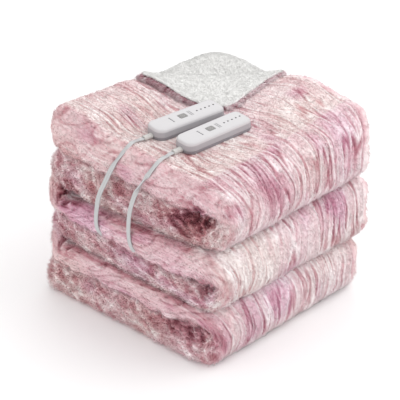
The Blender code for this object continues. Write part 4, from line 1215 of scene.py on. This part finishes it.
class Nodes:
    """Builds one material's node tree."""

    def __init__(self, name, roughness):
        self.material = bpy.data.materials.new(name)
        self.material.use_nodes = True
        self.tree = self.material.node_tree
        self.shader = self.tree.nodes["Principled BSDF"]
        self.shader.inputs["Roughness"].default_value = roughness

    def surface(self, **values):
        """The shader's own settings: sheen_weight sets its Sheen Weight, and so on."""
        for key, value in values.items():
            label = key.replace("_", " ").title().replace("Ior", "IOR")
            self.shader.inputs[label].default_value = value

    def add(self, kind, **settings):
        node = self.tree.nodes.new("ShaderNode" + kind)
        for key, value in settings.items():
            setattr(node, key, value)
        return node

    def link(self, source, target):
        self.tree.links.new(source, target)

    def attribute(self, name):
        return self.add("Attribute", attribute_name=name).outputs["Fac"]

    def coordinates(self, scale, uv=False):
        source = self.add("UVMap", uv_map="OFBake") if uv else self.add("TexCoord")
        mapping = self.add("Mapping")
        mapping.inputs["Scale"].default_value = scale
        self.link(source.outputs["UV" if uv else "Object"], mapping.inputs["Vector"])
        return mapping.outputs["Vector"]

    def noise(self, vector, scale=1.0, detail=2.0, roughness=0.5):
        node = self.add("TexNoise")
        node.inputs["Scale"].default_value = scale
        node.inputs["Detail"].default_value = detail
        node.inputs["Roughness"].default_value = roughness
        self.link(vector, node.inputs["Vector"])
        return node.outputs["Fac"]

    def math(self, operation, *values):
        node = self.add("Math", operation=operation)
        for socket, value in zip(node.inputs, values):
            if isinstance(value, (int, float)):
                socket.default_value = value
            else:
                self.link(value, socket)
        return node.outputs[0]

    def ramp(self, factor, stops):
        node = self.add("ValToRGB")
        ramp = node.color_ramp
        while len(ramp.elements) < len(stops):
            ramp.elements.new(0.5)
        for element, (place, colour) in zip(ramp.elements, stops):
            element.position = place
            element.color = (*colour, 1.0)
        self.link(factor, node.inputs["Fac"])
        return node.outputs["Color"]

    def blend(self, factor, first, second, blend_type="MIX"):
        node = self.add("Mix", data_type="RGBA", blend_type=blend_type)
        for key, value in (("Factor", factor), ("A", first), ("B", second)):
            socket = next(s for s in node.inputs if s.name == key and s.enabled)
            if isinstance(value, (int, float)):
                socket.default_value = value
            elif isinstance(value, tuple):
                socket.default_value = (*value, 1.0)
            else:
                self.link(value, socket)
        return next(s for s in node.outputs if s.enabled)

    def bump(self, height, distance, strength=1.0):
        node = self.add("Bump")
        node.inputs["Strength"].default_value = strength
        node.inputs["Distance"].default_value = distance
        self.link(height, node.inputs["Height"])
        self.link(node.outputs["Normal"], self.shader.inputs["Normal"])

    def base(self, colour):
        if isinstance(colour, tuple):
            self.shader.inputs["Base Color"].default_value = (*colour, 1.0)
        else:
            self.link(colour, self.shader.inputs["Base Color"])


CREAM = (
    (0.00, (0.060, 0.014, 0.020)),
    (0.20, (0.240, 0.066, 0.078)),
    (0.40, (0.510, 0.240, 0.252)),
    (0.60, (0.710, 0.510, 0.508)),
    (0.80, (0.850, 0.760, 0.740)),
    (1.00, (0.950, 0.915, 0.900)),
)
LILAC = (
    (0.00, (0.050, 0.010, 0.020)),
    (0.20, (0.210, 0.055, 0.090)),
    (0.40, (0.480, 0.205, 0.290)),
    (0.60, (0.710, 0.440, 0.540)),
    (0.80, (0.860, 0.700, 0.770)),
    (1.00, (0.950, 0.890, 0.920)),
)


TUFT_TINT, SHEEN_TINT = (1.0, 0.94, 0.95), (1.0, 0.72, 0.78)
SHERPA_GREY, SHERPA_WHITE = (0.72, 0.713, 0.70), (0.85, 0.846, 0.83)
SHERPA_SHADED_ROOTS = (0.78, 0.775, 0.76)
SPECKLE = 0.94


def plush_material(name, streaks):
    """Tie-dyed plush, from each piece's own tones: streaked cloth, or tufts a little rosier."""
    nodes = Nodes(name, 0.85)
    pale = nodes.attribute("pale")
    if streaks:
        fine = nodes.noise(nodes.coordinates((620, 330, 1), uv=True), detail=3.0)
        grain = nodes.noise(nodes.coordinates((420, 420, 420)), detail=2.0)
        for source, share in ((fine, 0.35), (grain, 0.20)):
            about = nodes.math("MULTIPLY", nodes.math("SUBTRACT", source, 0.5), share)
            pale = nodes.math("ADD", pale, about)
        nodes.bump(fine, 0.0008, 0.4)
    cream, lilac = nodes.ramp(pale, CREAM), nodes.ramp(pale, LILAC)
    colour = nodes.blend(nodes.attribute("lilac"), cream, lilac)
    if not streaks:
        colour = nodes.blend(1.0, colour, TUFT_TINT, "MULTIPLY")
    nodes.base(colour)
    nodes.surface(sheen_weight=0.10, sheen_roughness=0.45, sheen_tint=(*SHEEN_TINT, 1.0),
                  specular_ior_level=0.05)
    return nodes.material


def sherpa_material(name, tufts):
    """Curly white sherpa: the ply, or its tufts, which are painted greyer at their roots, as shade.
    """
    nodes = Nodes(name, 0.95)
    mottle = nodes.noise(nodes.coordinates((70, 70, 70)), detail=3.0, roughness=0.6)
    colour = nodes.ramp(mottle, ((0.32, SHERPA_GREY), (0.68, SHERPA_WHITE)))
    if tufts:
        colour = nodes.blend(nodes.attribute("depth"), SHERPA_SHADED_ROOTS, colour)
    else:
        curl = nodes.noise(nodes.coordinates((420, 420, 420)), detail=3.0)
        nodes.bump(curl, 0.0015, 0.8)
    nodes.base(colour)
    nodes.surface(sheen_weight=0.25, sheen_roughness=0.5, specular_ior_level=0.1)
    return nodes.material


def plastic_material(name, colour, roughness):
    """Moulded plastic or rubber: a fine grain, with a little unevenness in colour and gloss."""
    nodes = Nodes(name, roughness)
    fine = nodes.noise(nodes.coordinates((900, 900, 900)), detail=2.0)
    broad = nodes.noise(nodes.coordinates((40, 40, 40)), detail=2.0)
    nodes.base(nodes.blend(broad, tuple(c * SPECKLE for c in colour), colour))
    nodes.bump(fine, 0.00006, 0.5)
    rough = nodes.math("ADD", roughness - 0.04, nodes.math("MULTIPLY", broad, 0.08))
    nodes.link(rough, nodes.shader.inputs["Roughness"])
    return nodes.material


# ---- controllers ---------------------------------------------------------------------------------

def seat_matrix(place):
    """Where a controller lies on the pressed cloth."""
    return (Matrix.Translation((place.x, place.y, PRESSED_HEIGHT + SEAT_GAP))
            @ Matrix.Rotation(place.turn, 4, "Z"))


def rounded_outline(length, width, radii, height, steps):
    """A rectangle's outline with a rounding at each corner, from the lead's end on round."""
    points = []
    corners = zip(((-1, -1), (1, -1), (1, 1), (-1, 1)), radii)
    for quarter, ((side_x, side_y), radius) in enumerate(corners):
        for step in range(steps):
            angle = math.pi * (1 + quarter / 2 + step / (steps - 1) / 2)
            points.append((side_x * (length / 2 - radius) + radius * math.cos(angle),
                           side_y * (width / 2 - radius) + radius * math.sin(angle), height))
    return points


def housing_outline(inset, height):
    """The housing's outline, rounder at the lead's end."""
    near, far = (rounding - inset * 0.7 for rounding in (LEAD_END_ROUNDING, FAR_END_ROUNDING))
    return rounded_outline(BODY_LENGTH - 2 * inset, BODY_WIDTH - 2 * inset,
                           (near, far, far, near), height, 14)


def loft(rings, matrix=None):
    """A closed bmesh: a grid wrapped round from ring to ring, with a face over each end."""
    bm = bmesh.new()
    around = len(rings[0])
    bmesh.ops.create_grid(bm, x_segments=around, y_segments=len(rings) - 1, size=0.5)
    verts = list(bm.verts)
    for vert, point in zip(verts, (point for ring in rings for point in (*ring, ring[0]))):
        vert.co = point
    seam = zip(verts[::around + 1], verts[around::around + 1])
    bmesh.ops.weld_verts(bm, targetmap={last: first for first, last in seam})
    bmesh.ops.holes_fill(bm, edges=[edge for edge in bm.edges if edge.is_boundary], sides=0)
    bmesh.ops.recalc_face_normals(bm, faces=bm.faces)
    if matrix:
        bmesh.ops.transform(bm, matrix=matrix, verts=bm.verts)
    return bm


def on_curve(a, b, c, d, t):
    """The place a share t of the way from b to c, on a smooth curve that also passes a and d."""
    return 0.5 * ((2 * b) + (c - a) * t + (2 * a - 5 * b + 4 * c - d) * t * t
                  + (3 * b - a - 3 * c + d) * t ** 3)


def smooth_rows(rows, steps=4):
    """The rows of a profile with more between them, on a smooth curve."""
    rows = np.array(rows)
    ends = np.vstack((2 * rows[0] - rows[1], rows, 2 * rows[-1] - rows[-2]))
    return [rows[0]] + [on_curve(*knots, t) for knots in zip(ends, ends[1:], ends[2:], ends[3:])
                        for t in np.arange(1, steps + 1) / steps]


BASE_ROWS = ((0.0042, 0.0), (0.0016, 0.0007), (0.0004, 0.0026), (0.0, PARTING_HEIGHT - PIECE_GAP))
COVER_ROWS = ((0.0, PARTING_HEIGHT), (0.0003, 0.0135), (0.0010, 0.0182), (0.0028, 0.0207),
              (0.0064, BODY_HEIGHT))
GlandRow = namedtuple("GlandRow", "distance half_height half_width")
GLAND_ROWS = tuple(GlandRow(*row) for row in (
    (0.0003, 0.50, 0.92), (0.0030, 0.50, 0.92), (0.0034, 0.44, 0.82), (0.0050, 0.44, 0.82),
    (0.0054, 0.49, 0.90), (0.0084, 0.47, 0.87), (0.0088, 0.42, 0.78), (0.0100, 0.42, 0.78),
    (0.0104, 0.50, 0.92), (0.0155, 0.49, 0.90), (0.0166, 0.46, 0.86), (GLAND_LENGTH, 0.41, 0.78)))
# Flat marks on the cover: how far along it, how far across, and their size
Mark = namedtuple("Mark", "x y length width")
MARKS = ((Mark(0.0086, 0, 0.0011, 0.0160), Mark(0.0120, 0, 0.0011, 0.0160))
         + tuple(Mark(-0.0290, y, 0.0024, width) for y, width in
                 ((-0.0066, 0.0036), (-0.0022, 0.0028), (0.0022, 0.0036), (0.0066, 0.0030))))
MARK_HEIGHT, MARK_ROUNDING, MARK_CHAMFER, MARK_LIFT = 0.00012, 0.0004, 0.00003, 0.00003
RING_RADIUS, RING_THICKNESS, DOT_RADIUS = 0.0036, 0.00055, 0.0010
LENS_RADIUS, LENS_PLAY, LENS_DOME = 0.00150, 0.0002, 0.0004
LENS_FOOT, LENS_PROUD, LENS_HOLE = 0.0010, 0.0001, 0.0012
CUTTER_OVER, LENS_CUTTER_OVER = 0.005, 0.004
KEY_CHAMFER = 0.0003
SIDE_TOP = 0.0165
GLAND_LIFT, GLAND_STEPS, GLAND_SHAPE = 0.0012, 32, 0.62
CRISP, GLAND_CRISP = math.radians(32), math.radians(40)


def rounded_block(length, width, rounding, low, high, matrix, chamfer=KEY_CHAMFER):
    """An upright block with rounded corners and a chamfered top."""
    return loft([rounded_outline(length - 2 * inset, width - 2 * inset, (rounding - inset,) * 4,
                                 height, 6)
                 for inset, height in ((0.0, low), (0.0, high - chamfer), (chamfer, high))], matrix)


def disc(radius, low, high, matrix, dome=0.0, steps=20):
    """A short round plug, with its top domed."""
    rows = [(1.0, low), (1.0, high)]
    if dome:
        rows += [(math.cos(t * math.pi / 8), high + dome * math.sin(t * math.pi / 8))
                 for t in (1, 2, 3)]
    return loft([[(radius * share * math.cos(2 * math.pi * i / steps),
                   radius * share * math.sin(2 * math.pi * i / steps), height)
                  for i in range(steps)] for share, height in rows], matrix)


def flat_ring(radius, thickness, low, high, matrix):
    """A flat ring: its square section, spun full round."""
    bm = bmesh.new()
    section = [bm.verts.new((reach, 0, height)) for reach, height in (
        (radius, low), (radius, high), (radius - thickness, high), (radius - thickness, low))]
    section += [bm.edges.new(pair) for pair in zip(section, section[1:] + section[:1])]
    bmesh.ops.spin(bm, geom=section, cent=(0, 0, 0), axis=(0, 0, 1), dvec=(0, 0, 0),
                   angle=2 * math.pi, steps=32, use_merge=True, use_duplicate=False)
    bmesh.ops.recalc_face_normals(bm, faces=bm.faces)
    bmesh.ops.transform(bm, matrix=matrix, verts=bm.verts)
    return bm


def joined(parts):
    """One bmesh of several."""
    whole = bmesh.new()
    for part in parts:
        mesh = bpy.data.meshes.new("joined")
        part.to_mesh(mesh)
        part.free()
        whole.from_mesh(mesh)
        bpy.data.meshes.remove(mesh)
    return whole


def carve(piece, cutter):
    """Cuts one piece by another, and keeps the result as its mesh."""
    modifier = piece.modifiers.new("carve", "BOOLEAN")
    modifier.object, modifier.operation, modifier.solver = cutter, "DIFFERENCE", "EXACT"
    bpy.context.view_layer.update()
    cut = piece.evaluated_get(bpy.context.evaluated_depsgraph_get())
    mesh = bpy.data.meshes.new_from_object(cut)
    piece.modifiers.clear()
    piece.data = mesh
    bpy.data.objects.remove(cutter)


def make_controller(place, looks):
    """Every piece of one controller, as (piece, body, node that it replaces or None, slot)."""
    seat, top, name = seat_matrix(place), BODY_HEIGHT, place.name

    def at(x, y=0):
        return seat @ Matrix.Translation((x, y, 0))

    def made(part, bm, look, crisp=None):
        piece = place_mesh(f"{name}_{part}", bm, looks[look])
        if crisp:
            piece.data.set_sharp_from_angle(angle=crisp)
        return piece

    lights = [at(FIRST_LIGHT_X + i * LIGHT_PITCH) for i in range(LIGHT_COUNT)]
    base, cover = (made(part, loft([housing_outline(*row) for row in smooth_rows(rows)], seat),
                        look)
                   for part, rows, look in (("lower", BASE_ROWS, "lower"),
                                            ("upper", COVER_ROWS, "housing")))
    key_top, key_foot = top + KEY_PROUD, top + KEY_PROUD - KEY_THICKNESS
    holes = [rounded_block(KEY_LENGTH + 2 * PIECE_GAP, KEY_WIDTH + 2 * PIECE_GAP,
                           KEY_ROUNDING + PIECE_GAP, key_foot - KEY_TRAVEL - PIECE_GAP,
                           top + CUTTER_OVER, at(KEY_X))]
    holes += [disc(LENS_RADIUS + LENS_PLAY, top - LENS_HOLE, top + LENS_CUTTER_OVER, light)
              for light in lights]
    carve(cover, made("holes", joined(holes), "housing"))
    # The cover's side is painted a darker grey than its top, as shade
    cover.data.materials.append(looks["side"])
    for face in cover.data.polygons:
        face.material_index = int(face.center.z < PRESSED_HEIGHT + SEAT_GAP + SIDE_TOP)
    for piece in (base, cover):
        piece.data.shade_smooth()
        piece.data.set_sharp_from_angle(angle=CRISP)
    key = made("push", rounded_block(KEY_LENGTH, KEY_WIDTH, KEY_ROUNDING, key_foot, key_top,
                                     at(KEY_X)), "key", CRISP)
    on_key = key_top + MARK_LIFT, key_top + MARK_LIFT + MARK_HEIGHT
    symbol = made("symbol", joined((
        flat_ring(RING_RADIUS, RING_THICKNESS, *on_key, at(KEY_X)),
        disc(DOT_RADIUS, *on_key, at(KEY_X)))), "symbol")
    lenses = [made(f"lens_{i + 1}", disc(LENS_RADIUS, top - LENS_FOOT, top + LENS_PROUD, light,
                                         dome=LENS_DOME), "light")
              for i, light in enumerate(lights)]
    on_top = top + MARK_LIFT, top + MARK_LIFT + MARK_HEIGHT
    marks = made("marks", joined([
        rounded_block(mark.length, mark.width, MARK_ROUNDING, *on_top, at(mark.x, mark.y),
                      chamfer=MARK_CHAMFER)
        for mark in MARKS]), "mark")
    gland = made("relief", loft([[
        (-BODY_LENGTH / 2 - row.distance,
         row.half_width * GLAND_HEIGHT * GLAND_SHAPE * math.cos(2 * math.pi * i / GLAND_STEPS),
         GLAND_HEIGHT / 2 + GLAND_LIFT
         + row.half_height * GLAND_HEIGHT * math.sin(2 * math.pi * i / GLAND_STEPS))
        for i in range(GLAND_STEPS)] for row in GLAND_ROWS], seat), "gland", GLAND_CRISP)
    key_body = "key_" + name[-1]
    return [(base, BODY, name + "_base", "housing"), (cover, BODY, name + "_cover", "housing"),
            (key, key_body, name + "_key", "key"), (symbol, key_body, None, "key"),
            (marks, BODY, None, "housing"), (gland, BODY, name + "_gland", "gland")] + [
            (lens, BODY, f"{name}_light_{i + 1}", "light") for i, lens in enumerate(lenses)]


# ---- leads ---------------------------------------------------------------------------------------

def lead_points(place, on_top, drop):
    """The lead's route: the knots of the solid's route, read off a smooth curve through them."""
    seat = seat_matrix(place)
    leaves = [seat @ Vector((-BODY_LENGTH / 2 - GLAND_LENGTH - away, 0,
                             GLAND_HEIGHT / 2 + GLAND_LIFT))
              for away in (PIECE_GAP, LEAD_STRAIGHT)]
    lies = [Vector((x, y, float(level_height(0, x, y)) + LEAD_LIFT)) for x, y in on_top]
    knots = leaves + lies + [Vector(knot) for knot in drop]
    padded = [knots[0] * 2 - knots[1]] + knots + [knots[-1] * 2 - knots[-2]]
    points = [knots[0]]
    for a, b, c, d in zip(padded, padded[1:], padded[2:], padded[3:]):
        count = max(1, math.ceil((c - b).length / LEAD_STEP))
        points += [on_curve(a, b, c, d, i / count) for i in range(1, count + 1)]
    for _ in range(LEAD_SOFTENING):
        points[1:-1] = [(a + 2 * b + c) / 4 for a, b, c in zip(points, points[1:], points[2:])]
    return points


def lead_section():
    """The lead's flat section, with a groove beside each rounded edge, on both faces."""
    share = np.sin(np.linspace(-math.pi / 2, math.pi / 2, 19))
    ribbed = (1 - np.abs(share) ** 3.2) ** 0.5
    ribbed = ribbed * (1 - LEAD_GROOVE * hill(np.abs(share) - LEAD_GROOVE_AT, LEAD_GROOVE_WIDTH))
    across, thick = share * LEAD_WIDTH / 2, ribbed * LEAD_THICKNESS / 2
    return list(zip(across[1:-1], -thick[1:-1])) + list(zip(across[::-1], thick[::-1]))


def make_lead(name, route, turns, material):
    """A flat lead with two grooves on each face. turns gives its flat face's way along it."""
    section = lead_section()
    total = sum((b - a).length for a, b in zip(route, route[1:]))
    gone, rings = 0.0, []
    for index, point in enumerate(route):
        before = route[max(index - 1, 0)]
        tangent = (route[min(index + 1, len(route) - 1)] - before).normalized()
        gone += (point - before).length
        for (start, way), (end, next_way) in zip(turns, turns[1:]):
            if start <= gone / total <= end + 1e-9:
                turned = float(ease((gone / total - start) / (end - start)))
                flat = Vector(way).lerp(Vector(next_way), turned)
        flat = (flat - tangent * flat.dot(tangent)).normalized()
        across = flat.cross(tangent)
        rings.append([point + across * a + flat * t for a, t in section])
    return place_mesh(name, loft(rings), material), total


# ---- the stage -----------------------------------------------------------------------------------

CAMERA_TURN, CAMERA_RISE, CAMERA_DISTANCE = math.radians(-47.22), math.radians(30.73), 4.693
CAMERA_TARGET = Vector((-0.029, -0.0078, 0.1875))
CAMERA_LENS, CAMERA_REACH = 247.5, 30.0


def make_camera():
    """The photograph's view."""
    back = Vector((math.sin(CAMERA_TURN) * math.cos(CAMERA_RISE),
                   -math.cos(CAMERA_TURN) * math.cos(CAMERA_RISE), math.sin(CAMERA_RISE)))
    data = bpy.data.cameras.new("camera")
    data.lens, data.clip_end = CAMERA_LENS, CAMERA_REACH
    camera = bpy.data.objects.new("camera", data)
    camera.location = CAMERA_TARGET + back * CAMERA_DISTANCE
    camera.rotation_euler = back.to_track_quat("Z", "Y").to_euler()
    bpy.context.collection.objects.link(camera)
    bpy.context.scene.camera = camera


Lamp = namedtuple("Lamp", "name place size power")
LAMPS = (
    Lamp("key", (0.9, -1.6, 2.3), 2.4, 30),
    Lamp("back", (1.4, 1.6, 1.9), 2.0, 12),
    Lamp("fill", (-2.6, -0.5, 1.1), 3.0, 18),
)


FLOOR_SIZE, FLOOR_GREY, FLOOR_DROP = 6.0, 0.93, 0.0005
LAMPS_FACE, WORLD_STRENGTH = Vector((0, 0, 0.2)), 0.92


def make_stage():
    """The floor, the lamps and the studio's light."""
    bm = bmesh.new()
    bmesh.ops.create_grid(bm, x_segments=1, y_segments=1, size=FLOOR_SIZE)
    bmesh.ops.translate(bm, verts=bm.verts, vec=(0, 0, -FLOOR_DROP))
    nodes = Nodes("floor", 0.9)
    nodes.base((FLOOR_GREY,) * 3)
    place_mesh("floor", bm, nodes.material)
    for lamp in LAMPS:
        data = bpy.data.lights.new(lamp.name, "AREA")
        data.size, data.energy = lamp.size, lamp.power
        light = bpy.data.objects.new(lamp.name, data)
        light.location = lamp.place
        away = Vector(lamp.place) - LAMPS_FACE
        light.rotation_euler = away.to_track_quat("Z", "Y").to_euler()
        bpy.context.collection.objects.link(light)
    world = bpy.data.worlds.new("studio")
    world.use_nodes = True
    background = world.node_tree.nodes["Background"].inputs
    background["Color"].default_value = (1, 1, 1, 1)
    background["Strength"].default_value = WORLD_STRENGTH
    bpy.context.scene.world = world
    bpy.context.scene.view_settings.view_transform = "Standard"


# ---- everything ----------------------------------------------------------------------------------

make_camera()
make_stage()

lead_rubber = plastic_material("pale lead", (0.50, 0.505, 0.51), 0.30)
for place, on_top, drop, name, turns in (
        (CONTROLLERS[0], LEAD_1_ON_TOP, LEAD_1_DROP, "lead_1", LEAD_1_TURNS),
        (CONTROLLERS[1], LEAD_2_ON_TOP, LEAD_2_DROP, "lead_2", LEAD_2_TURNS)):
    route = lead_points(place, on_top, drop)
    lead, length = make_lead(name + "_flat", route, turns, lead_rubber)
    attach(lead, BODY)
    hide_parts(name)

plush_look = plush_material("ruched plush", streaks=True)
pile_look = plush_material("plush pile", streaks=False)
plush = make_plush(plush_look)
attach(plush, BODY)
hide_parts("blanket_fur")
for piece in make_pile(plush, pile_look):
    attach(piece, BODY)

sherpa_look = sherpa_material("sherpa", tufts=False)
sherpa_tufts = sherpa_material("sherpa tufts", tufts=True)
flap, cover, bed = make_corner(plush_look, sherpa_look)
for piece, slot in ((flap, "plush"), (cover, "sherpa"), (bed, "sherpa")):
    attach(piece, BODY)
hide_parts("blanket_lining")
hem = make_hem_pile(flap, pile_look)
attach(hem, BODY)
FLAP_TRAVEL = BEND_LENGTH + FLAP_END
flat_area(flap_sides, 0.0, FLAP_TRAVEL)
for name, sheet, seed, width, length, sides_at in (
        ("flap_sherpa_pile", cover, 13, BEND_FINISH - BEND_START, FLAP_TRAVEL, flap_sides),
        ("corner_sherpa_pile", bed, 14, CREASE_LENGTH - 2 * CREASE_INSET, CORNER_END,
         patch_sides)):
    tufts = make_sherpa_pile(name, sheet, sherpa_tufts, seed)
    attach(tufts, BODY)
    flat_area(sides_at, 0.0, length)

looks = {
    "housing": plastic_material("white housing", (0.57, 0.555, 0.565), 0.30),
    # The cover's side: the housing's plastic painted darker, as shade
    "side": plastic_material("grey housing side", (0.40, 0.39, 0.41), 0.30),
    # The base: the housing's plastic painted darker still, as shade
    "lower": plastic_material("grey housing", (0.24, 0.235, 0.255), 0.30),
    "key": plastic_material("grey key", (0.23, 0.22, 0.215), 0.45),
    "symbol": plastic_material("pale symbol", (0.42, 0.41, 0.40), 0.5),
    "light": plastic_material("dark lens", (0.030, 0.028, 0.032), 0.25),
    "mark": plastic_material("grey mark", (0.17, 0.165, 0.175), 0.5),
    "gland": plastic_material("pale gland", (0.56, 0.55, 0.53), 0.5),
}
for place in CONTROLLERS:
    for piece, body, node, slot in make_controller(place, looks):
        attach(piece, body)
        if node:
            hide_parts(node)
